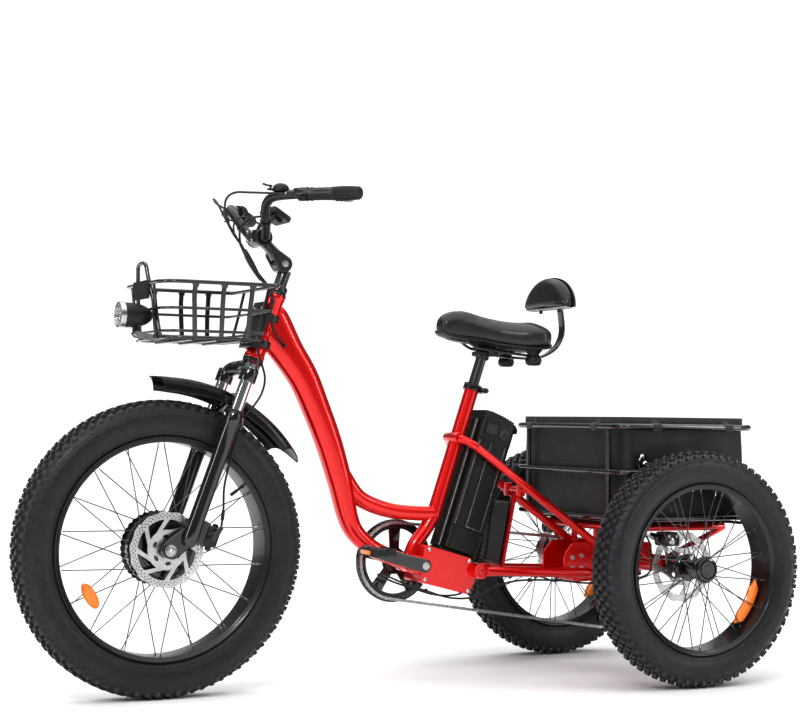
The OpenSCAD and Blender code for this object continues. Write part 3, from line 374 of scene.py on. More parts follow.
class Look:
    """A node material: constant shader values, then colour, roughness and bump detail."""

    def __init__(self, name, **sockets):
        self.material = bpy.data.materials.new(name)
        self.material.use_nodes = True
        self.tree = self.material.node_tree
        self.shader = self.tree.nodes["Principled BSDF"]
        for key, value in sockets.items():
            self.shader.inputs[key.replace("_", " ")].default_value = value
        self.place = self.node("ShaderNodeTexCoord").outputs["Object"]
        self.height = None

    def node(self, kind, **values):
        made = self.tree.nodes.new(kind)
        for key, value in values.items():
            name = key.replace("_", " ")
            if hasattr(made, key) and key not in made.inputs and name not in made.inputs:
                setattr(made, key, value)
                continue
            socket = made.inputs[key if key in made.inputs else name]
            if isinstance(value, bpy.types.NodeSocket):
                self.tree.links.new(value, socket)
            else:
                socket.default_value = value
        return made

    def stretched(self, scale):
        """The surface point scaled by three numbers."""
        return self.node("ShaderNodeMapping", Vector=self.place, Scale=scale).outputs[0]

    def noise(self, scale, detail=3.0, stretch=None):
        at = self.stretched(stretch) if stretch else self.place
        return self.node("ShaderNodeTexNoise", Vector=at, Scale=scale, Detail=detail).outputs[0]

    def cells(self, scale, feature="F1"):
        made = self.node("ShaderNodeTexVoronoi", Vector=self.place, Scale=scale)
        made.feature = feature
        return made.outputs["Distance"]

    def spread(self, value, low, high, start=0.3, end=0.7):
        """Maps a pattern from start..end to low..high."""
        made = self.node("ShaderNodeMapRange", Value=value)
        for socket, number in zip((1, 2, 3, 4), (start, end, low, high)):
            made.inputs[socket].default_value = number
        return made.outputs[0]

    def combine(self, kind, a, b):
        made = self.node("ShaderNodeMath")
        made.operation = kind
        for i, value in enumerate((a, b)):
            if isinstance(value, bpy.types.NodeSocket):
                self.tree.links.new(value, made.inputs[i])
            else:
                made.inputs[i].default_value = value
        return made.outputs[0]

    def colour(self, share, first, second):
        """Base colour running from first to second; share may be an earlier pattern."""
        made = self.node("ShaderNodeMix")
        made.data_type = "RGBA"
        self.tree.links.new(share, made.inputs[0])
        for socket, value in ((6, first), (7, second)):
            if isinstance(value, bpy.types.NodeSocket):
                self.tree.links.new(value, made.inputs[socket])
            else:
                made.inputs[socket].default_value = (*value, 1)
        self.tree.links.new(made.outputs[2], self.shader.inputs["Base Color"])
        return made.outputs[2]

    def rough(self, share, low, high):
        self.tree.links.new(self.spread(share, low, high), self.shader.inputs["Roughness"])
        return self

    def bump(self, value, depth_mm, strength=1.0):
        """Raises the surface by a pattern, on top of any earlier bump."""
        made = self.node("ShaderNodeBump", Height=value, Distance=depth_mm * MM, Strength=strength)
        if self.height is not None:
            self.tree.links.new(self.height, made.inputs["Normal"])
        self.height = made.outputs[0]
        self.tree.links.new(self.height, self.shader.inputs["Normal"])
        return self

    def edges(self, low=0.5, high=0.62):
        """1 along outward edges, 0 elsewhere, broken up so that it isn't even: edge wear together
        with a painted edge highlight.
        """
        # The lightening this mask drives is partly edge wear and partly a painted highlight on
        # convex edges.
        sharp = self.node("ShaderNodeNewGeometry").outputs["Pointiness"]
        worn_and_lit = self.spread(sharp, 0, 1, low, high)
        return self.combine("MULTIPLY", worn_and_lit, self.spread(self.noise(90, 5), 0.1, 1))


def candy_red():
    """Red paint over metal flake, under a clear coat with a little orange peel, and a painted
    highlight along its edges.
    """
    k = Look("candy_red_paint", Metallic=0.62, Coat_Weight=0.8, Coat_Roughness=0.035, Coat_IOR=1.55)
    flake = k.cells(2600)
    base = k.colour(k.spread(flake, 0, 1, 0.1, 0.8), (0.8, 0.003, 0.003), (0.7, 0.002, 0.002))
    # Brighter red along outward edges: a painted edge highlight.
    k.colour(k.edges(0.54, 0.68), base, (0.9, 0.01, 0.008))
    k.rough(k.noise(320), 0.27, 0.3)
    k.bump(flake, 0.002, 0.05).bump(k.noise(40, 1), 0.002, 0.05)
    return k.material


def black_coat(name, rough, coat, base=0.014, grain=1.0):
    """Black powder coat or gloss paint, a little lighter along its edges: rubbed wear together with
    a painted edge highlight.
    """
    k = Look(name, Coat_Weight=coat, Coat_Roughness=0.08, IOR=1.5)
    tone = k.colour(k.spread(k.noise(60, 5), 0, 1), (base,) * 3,
                    (base * 1.5, base * 1.55, base * 1.65))
    # Lighter along outward edges: edge wear and a painted edge highlight.
    k.colour(k.edges(0.56, 0.72), tone, (0.022, 0.0225, 0.0235))
    k.rough(k.noise(240, 6), rough * 0.85, rough * 1.2)
    k.bump(k.noise(1700, 3), 0.05, 0.35 * grain).bump(k.noise(25, 2), 0.2, 0.12)
    return k.material


def moulded(name, base, rough, grain=900):
    """Moulded plastic with a fine sparked texture and faint flow marks."""
    k = Look(name, IOR=1.46, Specular_IOR_Level=0.5)
    tone = k.colour(k.spread(k.noise(35, 4), 0, 1), base, tuple(c * 1.35 for c in base))
    # Lighter along outward edges: edge wear and a painted edge highlight.
    k.colour(k.edges(0.53, 0.68), tone, tuple(min(1, c * 2.6) for c in base))
    k.rough(k.noise(160, 5), rough * 0.85, rough * 1.15)
    k.bump(k.cells(grain), 0.08, 0.35).bump(k.noise(grain * 2.5, 3), 0.04, 0.3)
    return k.material


def tyre_rubber():
    """Charcoal rubber with a faint bloom, mould rings and scuffed tread edges, which also carry a
    painted edge highlight.
    """
    k = Look("tyre_rubber", Sheen_Weight=0.25, Sheen_Roughness=0.5, IOR=1.45)
    k.shader.inputs["Sheen Tint"].default_value = (0.6, 0.62, 0.65, 1)
    bloom = k.combine("MULTIPLY", k.noise(9, 6), k.noise(70, 5))
    tone = k.colour(k.spread(bloom, 0, 1, 0.15, 0.42), (0.009, 0.0095, 0.0105),
                    (0.019, 0.02, 0.022))
    # Lighter along outward edges: scuffing together with a painted edge highlight.
    k.colour(k.edges(0.52, 0.66), tone, (0.032, 0.033, 0.034))
    k.rough(k.noise(45, 6), 0.36, 0.5)
    k.bump(k.noise(900, 4), 0.1, 0.35).bump(k.noise(120, 3), 0.25, 0.12)
    return k.material


def soft_rubber():
    """Grip rubber: matt and slightly dusty."""
    k = Look("grip_rubber", IOR=1.45)
    tone = k.colour(k.spread(k.noise(80, 5), 0, 1), (0.012, 0.0122, 0.0125), (0.02, 0.0202, 0.021))
    # Lighter along outward edges: dust and wear, and a painted edge highlight.
    k.colour(k.edges(0.52, 0.64), tone, (0.06, 0.06, 0.06))
    k.rough(k.noise(180, 4), 0.55, 0.72)
    k.bump(k.cells(1300), 0.08, 0.4)
    return k.material


def bright_metal(name, base, rough, scratch=(1, 1, 14), tarnish=0.75):
    """Bare metal with fine drawn lines and slight tarnish."""
    k = Look(name, Metallic=1.0)
    tone = k.colour(k.spread(k.noise(40, 6), 0, 1), base, tuple(c * tarnish for c in base))
    k.colour(k.spread(k.noise(700, 2), 0, 0.4), tone, tuple(c * 0.6 for c in base))
    line = k.noise(260, 4, scratch)
    k.rough(line, rough * 0.8, rough * 1.35)
    k.bump(line, 0.02, 0.3)
    return k.material


def rotor_steel():
    """Brake rotor: ground steel with a swept pad band."""
    k = Look("rotor_steel", Metallic=1.0, Anisotropic=0.5)
    line = k.noise(900, 3, (1, 0.05, 1))
    tone = k.colour(k.spread(k.noise(30, 6), 0, 1), (0.72, 0.72, 0.71), (0.52, 0.52, 0.53))
    k.colour(k.spread(line, 0, 0.5), tone, (0.36, 0.36, 0.37))
    k.rough(line, 0.2, 0.36)
    k.bump(line, 0.02, 0.4)
    return k.material


def chain_steel():
    """Chain steel, dark with oil in its joints."""
    k = Look("chain_steel", Metallic=0.95)
    tone = k.colour(k.spread(k.noise(500, 5), 0, 1), (0.78, 0.78, 0.77), (0.45, 0.44, 0.43))
    k.colour(k.spread(k.noise(120, 3), 0, 0.5), tone, (0.2, 0.19, 0.18))
    k.rough(k.noise(600, 3), 0.22, 0.5)
    k.bump(k.noise(1500, 2), 0.03, 0.3)
    return k.material


def grained_vinyl():
    """Saddle vinyl: pebbled grain with fine creases and a soft sheen."""
    k = Look("saddle_vinyl", IOR=1.48, Coat_Weight=0.35, Coat_Roughness=0.22)
    grain = k.cells(620, feature="SMOOTH_F1")
    tone = k.colour(k.spread(k.noise(22, 5), 0, 1), (0.007, 0.0073, 0.008), (0.013, 0.0133, 0.0142))
    k.colour(k.spread(grain, 0, 0.8, 0.2, 0.7), tone, (0.016, 0.0165, 0.018))
    k.rough(k.combine("MULTIPLY", k.noise(30, 4), k.spread(grain, 1, 1.3, 0, 1)), 0.3, 0.48)
    k.bump(grain, 0.12, 0.35).bump(k.noise(110, 5), 0.3, 0.2)
    return k.material


def woven_liner():
    """Coated black canvas: a plain weave under a thin shine, with soft creases."""
    k = Look("liner_canvas", IOR=1.45, Sheen_Weight=0.15, Sheen_Roughness=0.45)
    warp = k.node("ShaderNodeTexWave", Vector=k.stretched((1, 1, 0.15)), Scale=420,
                  Distortion=1.2).outputs[1]
    weft = k.node("ShaderNodeTexWave", Vector=k.place, Scale=420, Distortion=1.0,
                  bands_direction="Z").outputs[1]
    weave = k.combine("MAXIMUM", warp, weft)
    tone = k.colour(k.spread(k.noise(12, 6), 0, 1), (0.006, 0.0064, 0.007), (0.011, 0.0116, 0.0128))
    k.colour(k.spread(weave, 0, 0.5), tone, (0.016, 0.017, 0.019))
    k.rough(k.noise(18, 5), 0.4, 0.58)
    k.bump(weave, 0.12, 0.4).bump(k.noise(26, 4), 1.6, 0.3)
    return k.material


def webbing():
    """Black binding tape with a ribbed weave."""
    k = Look("binding_tape", Sheen_Weight=0.3)
    rib = k.node("ShaderNodeTexWave", Vector=k.place, Scale=700, Distortion=0.4,
                 bands_direction="DIAGONAL").outputs[1]
    k.colour(k.spread(rib, 0, 1), (0.012, 0.012, 0.013), (0.035, 0.036, 0.038))
    k.rough(k.noise(300, 3), 0.6, 0.85)
    k.bump(rib, 0.2, 0.5)
    return k.material


def amber():
    """Amber reflector plastic moulded with prism cells, with a faint orange emission as a painted
    glow.
    """
    k = Look("amber_reflector", Coat_Weight=1.0, Coat_Roughness=0.05, Emission_Strength=0.12,
             Transmission_Weight=0.15, IOR=1.49)
    # The emission is a painted glow: a reflector gives no light of its own.
    k.shader.inputs["Emission Color"].default_value = (1.0, 0.3, 0.0, 1)
    prism = k.cells(420, feature="DISTANCE_TO_EDGE")
    k.colour(k.spread(prism, 0, 1, 0.0, 0.25), (0.82, 0.13, 0.002), (1.0, 0.34, 0.01))
    k.rough(k.noise(200), 0.12, 0.22)
    k.bump(prism, 0.8, 0.7)
    return k.material


def screen_glass():
    """Smoked cover glass of the display."""
    k = Look("screen_glass", Coat_Weight=1.0, Coat_Roughness=0.02, IOR=1.5)
    k.colour(k.spread(k.noise(60, 6), 0, 1), (0.006, 0.007, 0.009), (0.012, 0.014, 0.017))
    k.rough(k.noise(300, 5), 0.06, 0.14)
    k.bump(k.noise(1800, 2), 0.01, 0.2)
    return k.material


def lamp_lens():
    """Ribbed clear lens."""
    k = Look("lamp_lens", Transmission_Weight=0.85, IOR=1.47, Coat_Weight=0.6)
    rib = k.node("ShaderNodeTexWave", Vector=k.place, Scale=90, bands_direction="Y").outputs[1]
    k.colour(k.spread(rib, 0, 1), (0.92, 0.94, 0.95), (0.8, 0.83, 0.86))
    k.rough(k.noise(90, 4), 0.03, 0.1)
    k.bump(rib, 0.5, 0.5)
    return k.material


RED = candy_red()
GLOSS = black_coat("gloss_black_paint", 0.2, 1.0, 0.005, 0.35)
SATIN = black_coat("satin_black_coat", 0.34, 0.25, 0.007)
ALLOY_DARK = black_coat("dark_forged_alloy", 0.3, 0.5, 0.018)
PLASTIC = moulded("black_plastic", (0.008, 0.0083, 0.009), 0.42)
GREY_PLASTIC = moulded("dark_grey_plastic", (0.024, 0.025, 0.027), 0.46)
SHELL = moulded("battery_shell", (0.007, 0.0073, 0.008), 0.3, 1500)
JACKET = moulded("cable_jacket", (0.012, 0.012, 0.013), 0.34, 2000)
RUBBER = tyre_rubber()
GRIP = soft_rubber()
CHROME = bright_metal("chrome", (0.86, 0.87, 0.88), 0.07, (1, 1, 6), 0.93)
STEEL = bright_metal("bright_steel", (0.62, 0.62, 0.62), 0.24)
SPOKE = bright_metal("spoke_steel", (0.16, 0.16, 0.165), 0.3)
ALLOY = bright_metal("machined_alloy", (0.72, 0.73, 0.74), 0.26, (1, 12, 1))
ROTOR = rotor_steel()
CHAIN = chain_steel()
VINYL = grained_vinyl()
CANVAS = woven_liner()
TAPE = webbing()
AMBER = amber()
GLASS = screen_glass()
LENS = lamp_lens()


# ---------- wheels ----------


def knob(shape, place, angle, across, radius, tilt, size, lean=0.0):
    """One tread block: a low tapered box standing on the tyre's skin."""
    along, wide, high = size
    skin = (place @ Matrix.Rotation(angle, 4, "Z") @ Matrix.Translation((radius, 0, across))
            @ Matrix.Rotation(-tilt, 4, "Y") @ Matrix.Rotation(lean, 4, "X"))
    levels = [(-3, 0.5), (high - 0.9, 0.44), (high, 0.36)]
    shape.rings([[(x, along * s * v, wide * s * w) for v, w in
                  ((-1, -1), (1, -1), (1, 1), (-1, 1))] for x, s in levels], place=skin)


def tyre(name, body, node, centre, r, rim_r):
    """Fat tyre: smooth sidewalls with mould rings, four rows of blocks and shoulder marks."""
    place = upright(centre)
    s = Shape()
    skin = r - 7.5
    side = [(rim_r + 1, 35.5), (rim_r + 6, 40), (rim_r + 12, 42.6), (rim_r + 12.8, 43.8),
            (rim_r + 14, 43.4), (rim_r + 24, 47.2), (rim_r + 34, 49), (rim_r + 44, 49.4),
            (rim_r + 50, 49), (skin - 22, 46.4), (skin - 14, 43), (skin - 7, 37.5),
            (skin - 3, 30), (skin - 0.8, 18)]
    outer = curve(side + [(skin, 0)] + [(a, -b) for a, b in reversed(side)], 3)
    inner = [(rim_r + 1, -31), (rim_r + 20, -43), (r - 32, -43), (r - 18, -28), (r - 18, 28),
             (r - 32, 43), (rim_r + 20, 43), (rim_r + 1, 31)]
    s.lathe(outer + inner, place, 176, loop=True)
    count = round(TURN * r / 26)
    for i in range(count):
        a, half = TURN * i / count, TURN / count / 2
        wide = i % 2
        for side_sign in (-1, 1):
            b = a + (half if side_sign > 0 else 0)
            knob(s, place, b, side_sign * 9, skin - 0.4, 0, (12, 13, 7.9), side_sign * 0.2)
            knob(s, place, b + half, side_sign * 24, skin - 1.6, side_sign * 0.12,
                 (11, 11, 7.8), -side_sign * 0.15)
            knob(s, place, b, side_sign * (36.5 + wide), skin - 7.2, side_sign * 0.62,
                 (11.5, 10 + 2 * wide, 6.6))
            if not wide:
                knob(s, place, b + half, side_sign * 43.2, skin - 15, side_sign * 1.1,
                     (8, 7, 2.6))
            for edge in (-3, 3):
                knob(s, place, b + edge / r, side_sign * 47.1, skin - 27, side_sign * 1.35,
                     (1.6, 7, 1.4))
            knob(s, place, b, side_sign * 47.4, skin - 30, side_sign * 1.35, (7.2, 1.6, 1.4))
    return piece(name, s, RUBBER, body, node, 38)


def spokes(shape, nipples, place, flange_r, flange_y, rim_r, cross_deg, count=36):
    """Crossed spokes with an elbow at the flange and a nipple at the rim."""
    pairs = count // 4
    for s in (-1, 1):
        for i in range(pairs):
            for c in (-1, 1):
                a = TURN / pairs * i + (0 if s > 0 else math.pi / pairs)
                b = a + c * math.radians(cross_deg)
                e = a + c * math.pi / 2 / pairs
                foot = Vector((flange_r * math.cos(b), flange_r * math.sin(b), s * flange_y))
                tip = Vector(((rim_r - 7) * math.cos(e), (rim_r - 7) * math.sin(e), s * 14))
                out = Vector((0, 0, s * 3.5 * c))
                pts = [place @ p for p in (foot - out, foot + out * 0.6,
                                           foot.lerp(tip, 0.015) + out * 0.6, tip)]
                shape.tube(pts, 1.3, 8)
                shape.ball(2.1, pts[0], 8)
                near = tip.lerp(foot, 13 / (tip - foot).length)
                nipples.rod(place @ near, place @ tip, 1.9, 8)


def rim(shape, place, rim_r):
    """Box rim with hooked edges and a raised rib beside each edge."""
    half = [(rim_r - 12.5, 0), (rim_r - 12.5, 30), (rim_r - 11.5, 37.5), (rim_r - 8.5, 39.5),
            (rim_r - 3, 41.5), (rim_r - 1.5, 43.6), (rim_r, 44), (rim_r + 0.8, 43.2),
            (rim_r + 1, 37), (rim_r - 6, 34), (rim_r - 6, 0)]
    loop = half + [(a, -b) for a, b in reversed(half[1:-1])]
    shape.lathe(loop, place, 144, loop=True)


def valve(shape, place, rim_r, angle_deg):
    """Tyre valve with its cap."""
    turn = place @ Matrix.Rotation(math.radians(angle_deg), 4, "Z")
    start, end = turn @ Vector((rim_r - 10, 0, 0)), turn @ Vector((rim_r - 46, 0, 0))
    shape.rod(start, end, 2.9)
    shape.rod(start.lerp(end, 0.45), start.lerp(end, 1.04), 4.0)
    shape.rod(start, start.lerp(end, 0.12), 5.0)


def rotor(name, body, place, y):
    """Wave-edged brake rotor with three rows of holes and slanted arms."""
    edge = []
    for k in range(192):
        a = TURN * k / 192
        r = 88.2 + 1.5 * math.sin(a * 14)
        edge.append((r * math.cos(a), r * math.sin(a)))
    holes = []
    arms = 8
    for i in range(arms):
        a = 360 / arms * i
        holes.append(round_corners(
            arc(71, a + 5, a + 360 / arms - 5, 8) + arc(47, a + 11, a - 14, 5), 3, 2))
    for i in range(6):
        at = Matrix.Rotation(TURN * (i + 0.4) / 6, 3, "Z")
        holes.append([tuple((at @ Vector((31.5 + 4.4 * c[0], 7.5 * c[1], 0)))[:2])
                      for c in circle(1, 14)])
    for i in range(48):
        a = TURN * i / 48
        for r, shift in ((75.5, 0), (80, 0.5), (84.2, 0)):
            b = a + shift * TURN / 48
            holes.append(circle(1.55 if r > 84 else 1.75, 7, (r * math.cos(b), r * math.sin(b))))
    s = Shape()
    s.sheet([edge, circle(13, 40)] + holes, y - 0.95, y + 0.95, place)
    piece(name, s, ROTOR, body, angle=30)
    b = Shape()
    for i in range(6):
        a = TURN * i / 6
        for side in (-1, 1):
            at = place @ Vector((22 * math.cos(a), 22 * math.sin(a), y + side))
            b.bolt(at, place.to_3x3() @ Vector((0, 0, side)), 3.4, 2.2)
    return piece(name + "_bolts", b, STEEL, body)


def oval_reflector(name, body, place, r, angle_deg, y):
    """Short spoke reflector with a raised rim."""
    at = (place @ Matrix.Rotation(math.radians(angle_deg), 4, "Z")
          @ Matrix.Translation((r, 0, y)) @ Matrix.Rotation(math.pi / 2, 4, "Z"))
    face = [(33 * math.copysign(abs(x) ** 0.85, x), 14 * y_) for x, y_ in circle(1, 40)]
    s = Shape()
    s.prism(face, -5, 5, at, 2)
    s.tube([at @ Vector((x * 0.9, y_ * 0.84, 5)) for x, y_ in face], 1.1, 6, True)
    for x in (-24, 24):
        s.block((6, 13, 3), (x, 0, 5.5), at, 1)
    return piece(name, s, AMBER, body)


def arc_reflector(name, body, place, r, start_deg, end_deg, y):
    """Long curved spoke reflector with clip ends."""
    start, end = arc(r, start_deg, end_deg, 1)
    face = round_corners(arc(r + 14, start_deg + 7, end_deg - 7, 14) + [end]
                         + arc(r - 14, end_deg - 9, start_deg + 9, 14) + [start], 3, 2)
    s = Shape()
    s.prism(face, y - 4.5, y + 4.5, place, 1.6)
    for a in (start_deg + 5, (start_deg + end_deg) / 2, end_deg - 5):
        at = place @ Matrix.Rotation(math.radians(a), 4, "Z") @ Matrix.Translation((r, 0, y + 4.5))
        s.block((14, 3.2, 2.6), (0, 0, 0.5), at, 0.8)
    return piece(name, s, AMBER, body)


def front_wheel():
    """Fat tyre, rim, spokes, hub motor, rotor and reflector of the front wheel."""
    place = upright(FRONT)
    body = "wheel_front"
    tyre("front_fat_tyre", body, "front_tyre", FRONT, FRONT_R, FRONT_RIM)
    s, n = Shape(), Shape()
    rim(s, place, FRONT_RIM)
    valve(s, place, FRONT_RIM, 145)
    piece("front_rim", s, SATIN, body)
    s = Shape()
    spokes(s, n, place, 84, 27, FRONT_RIM, 32)
    piece("front_spokes", s, SPOKE, body, "front_wheel", 50)
    piece("front_nipples", n, CHROME, body)
    h = Shape()
    h.lathe([(0, -50), (28, -50), (30, -48), (30, -41), (60, -40), (70, -38), (78, -34), (82, -28),
             (82, -26), (86, -26), (86, -22), (82, -22), (82, 22), (86, 22), (86, 26), (82, 26),
             (80, 27.5), (66, 28), (64, 31), (56, 31.5), (54, 28.5), (44, 29), (42, 36), (34, 38),
             (33, 50), (0, 50.6)], place, 96)
    for side in (-24, 24):
        for i in range(36):
            a = TURN * i / 36
            h.block((4, 10, 3.8), (86, 0, side), place @ Matrix.Rotation(a, 4, "Z"), 1.5)
    for i in range(12):
        a = TURN * (i + 0.5) / 12
        h.block((4.5, 5, 38), (82, 0, 0), place @ Matrix.Rotation(a, 4, "Z"), 1)
    piece("hub_motor_drum", h, GLOSS, body, "hub_motor")
    b = Shape()
    for i in range(6):
        a = TURN * i / 6
        b.bolt(place @ Vector((72 * math.cos(a), 72 * math.sin(a), 28)), (0, 1, 0), 3.6, 2.4)
    for y, sign in ((LEG_Y + 2.4, 1), (-LEG_Y - 2.4, -1)):
        b.nut(place @ Vector((0, 0, y)), (0, sign, 0), 11, 9)
        b.lathe([(0, 0), (7, 0), (7, 6.5), (5.5, 8.4), (0, 8.8)],
                aim(place @ Vector((0, 0, y + sign * 8.5)), (0, sign, 0)), 32)
    b.rod(place @ Vector((0, 0, -84)), place @ Vector((0, 0, 84)), 9.8, 24)
    piece("front_axle_nuts", b, STEEL, body)
    rotor("front_rotor", body, place, 52)
    oval_reflector("front_reflector", body, place, 200, -31, 22)


def rear_wheel(side, body, tag):
    """Rear wheel on its half axle; side is 1 on the rider's left and -1 on the right."""
    centre = Vector((REAR.x, side * REAR.y, REAR.z))
    place = upright(centre) @ Matrix.Diagonal((1, 1, side, 1))
    tyre(f"{tag}_fat_tyre", body, f"{tag}_tyre", centre, REAR_R, REAR_RIM)
    s, n = Shape(), Shape()
    rim(s, place, REAR_RIM)
    valve(s, place, REAR_RIM, 62)
    piece(f"{tag}_rim", s, SATIN, body)
    s = Shape()
    spokes(s, n, place, 30, 34, REAR_RIM, 42)
    piece(f"{tag}_spokes", s, SPOKE, body, f"{tag}_wheel", 50)
    piece(f"{tag}_nipples", n, CHROME, body)
    inner = ROTOR_Y - REAR.y
    h = Shape()
    h.lathe([(9.9, inner - 1), (21, inner - 1), (21.5, inner + 4), (17, inner + 7), (16, -46),
             (19.5, -45), (20, -37.5), (32.5, -36.4), (34, -35), (34, -33), (32.5, -31.6),
             (21, -30), (18.5, -20), (18.5, 20), (21, 30), (32.5, 31.6), (34, 33), (34, 35),
             (32.5, 36.4), (29.5, 38), (29.5, 46), (28, 48), (24, 48.5), (22.4, 45), (9.9, 44.5)],
            place, 64)
    for i in range(24):
        a = TURN * i / 24
        h.block((2.2, 3.4, 7), (29.3, 0, 42), place @ Matrix.Rotation(a, 4, "Z"), 0.6)
    piece(f"{tag}_hub", h, GLOSS, body)
    c = Shape()
    c.lathe([(0, 50.6), (7, 50.6), (8, 49.8), (11, 49.8), (12, 51), (13.6, 51), (14.4, 49.6),
             (19, 49.6), (20.5, 48.4), (21.5, 45), (0, 44)], place, 48)
    c.rod(place @ Vector((0, 0, 4 - REAR.y)), place @ Vector((0, 0, 44)), 9.9, 32)
    piece(f"{tag}_axle", c, ALLOY_DARK, body)
    rotor(f"{tag}_rotor", body, place, inner)
    arc_reflector(f"{tag}_reflector", body, place, 178, 190, 232, 8)


front_wheel()
rear_wheel(1, "wheel_rear_left", "rear_left")
rear_wheel(-1, "wheel_rear_right", "rear_right")


# ---------- fork, fender and front brake ----------


def link_outline(a, ra, b, rb, n=12):
    """Outline round two circles, drawn anticlockwise."""
    d = Vector(b) - Vector(a)
    turn = math.degrees(math.atan2(d.y, d.x))
    open_by = math.degrees(math.acos(max(-1, min(1, (ra - rb) / d.length))))
    return (arc(ra, turn + open_by, turn + 360 - open_by, n, a)
            + arc(rb, turn - open_by, turn + open_by, n, b))


def steer_piece(name, shape, material, body, nodes=()):
    """Makes a piece whose shape is drawn in the steering axis's frame."""
    shape.points = [STEER @ p for p in shape.points]
    return piece(name, shape, material, body, nodes)


def fork():
    """Crown, stanchions, sprung legs and dust wipers."""
    crown = 430
    s = Shape()
    for y in (-LEG_Y, LEG_Y):
        s.lathe([(15.2, crown), (20.4, crown), (21, crown + 1.5), (21, crown + 29),
                 (19.5, crown + 33), (14, crown + 34.5), (13, crown + 32.5), (0, crown + 32.5)],
                Matrix.Translation((LEG_U, y, 0)), 40)
        k = y / LEG_Y
        path = curve([(LEG_U, k * LEG_Y, crown + 14, 17, 17), (LEG_U * 0.86, k * LEG_Y * 0.86,
                      crown + 34, 17, 16), (LEG_U * 0.5, k * LEG_Y * 0.5, crown + 43, 18, 15),
                      (2, k * 8, crown + 46, 20, 16), (0, 0, crown + 46, 20, 16)], 5)
        s.tube(path, [p[3:] for p in path], 24, side=(1, 0, 0), power=2.6)
    s.lathe([(0, crown + 30), (19, crown + 30), (21.5, crown + 34), (22, crown + 58), (24, 488),
             (25, HEAD_LOW - 7.8), (14, HEAD_LOW - 7.6), (14.2, HEAD_HIGH + 38),
             (0, HEAD_HIGH + 39)], None, 48)
    s.block((9, 20, 14), (LEG_U - 6, 0, crown + 37), None, 3)
    steer_piece("fork_crown", s, GLOSS, "steering", "fork_upper")
    c = Shape()
    for y in (-LEG_Y, LEG_Y):
        c.rod((LEG_U, y, 150), (LEG_U, y, crown + 5), 15, 40)
    steer_piece("stanchions", c, CHROME, "steering")
    k = Shape()
    k.lathe([(0, crown + 37.5), (9, crown + 37.5), (11, crown + 36.5), (11, crown + 33),
             (0, crown + 33)], Matrix.Translation((LEG_U, LEG_Y, 0)), 32)
    k.bolt((LEG_U - 2, 0, crown + 37), (1, 0, 0), 5.5, 5)
    steer_piece("crown_caps", k, ALLOY, "steering")

    low, high = 30, 351
    s = Shape()
    for y in (-LEG_Y, LEG_Y):
        out = math.copysign(1, y)
        s.lathe([(0, low - 8), (11, low - 8), (16, low - 3), (19.4, low + 12), (19.5, low + 30),
                 (18.4, low + 60), (18.2, 230), (19.3, 262), (19.5, high - 26), (20.6, high - 24),
                 (21, high - 16), (21, high - 4), (19.8, high), (15.15, high)],
                Matrix.Translation((LEG_U, y, 0)), 48)
        foot = round_corners([(LEG_U - 15, low + 34), (LEG_U - 12, low - 4), (43, -17), (61, -20),
                              (79, -14), (81, 6), (74, 22), (LEG_U + 17, low + 34)], 12, 5)
        y0 = y - out * 10
        s.prism(foot, min(y0, y0 + out * 8), max(y0, y0 + out * 8), UPRIGHT, 1.8)
        k = y / LEG_Y
        path = curve([(LEG_U - 19, k * (LEG_Y + 1), high - 34, 5, 11), (LEG_U - 18, k * (LEG_Y - 4),
                      high - 8, 7, 13), (LEG_U - 11, k * (LEG_Y - 18), high + 15, 8, 12),
                      (LEG_U - 6, k * 32, high + 27, 8, 10), (LEG_U - 4, 0, high + 31, 8, 10)], 5)
        s.tube(path, [p[3:] for p in path], 20, side=(1, 0, 0), power=2.6)
    mount = round_corners([(LEG_U - 12, 94), (LEG_U - 40, 90), (LEG_U - 52, 64), (LEG_U - 42, 32),
                           (LEG_U - 8, 42)], 9, 4)
    s.prism(mount, LEG_Y - 8, LEG_Y - 2, UPRIGHT, 1.2)
    s.block((12, 14, 22), (LEG_U - 18, 0, high + 34), None, 3)
    steer_piece("fork_legs", s, GLOSS, "fork_sprung", "fork_lowers")
    w = Shape()
    for y in (-LEG_Y, LEG_Y):
        w.lathe([(15.1, high - 2), (19.4, high - 1), (19.8, high + 1.5), (18, high + 5),
                 (16.6, high + 7.5), (15.1, high + 8)], Matrix.Translation((LEG_U, y, 0)), 40)
    steer_piece("dust_wipers", w, GRIP, "fork_sprung")


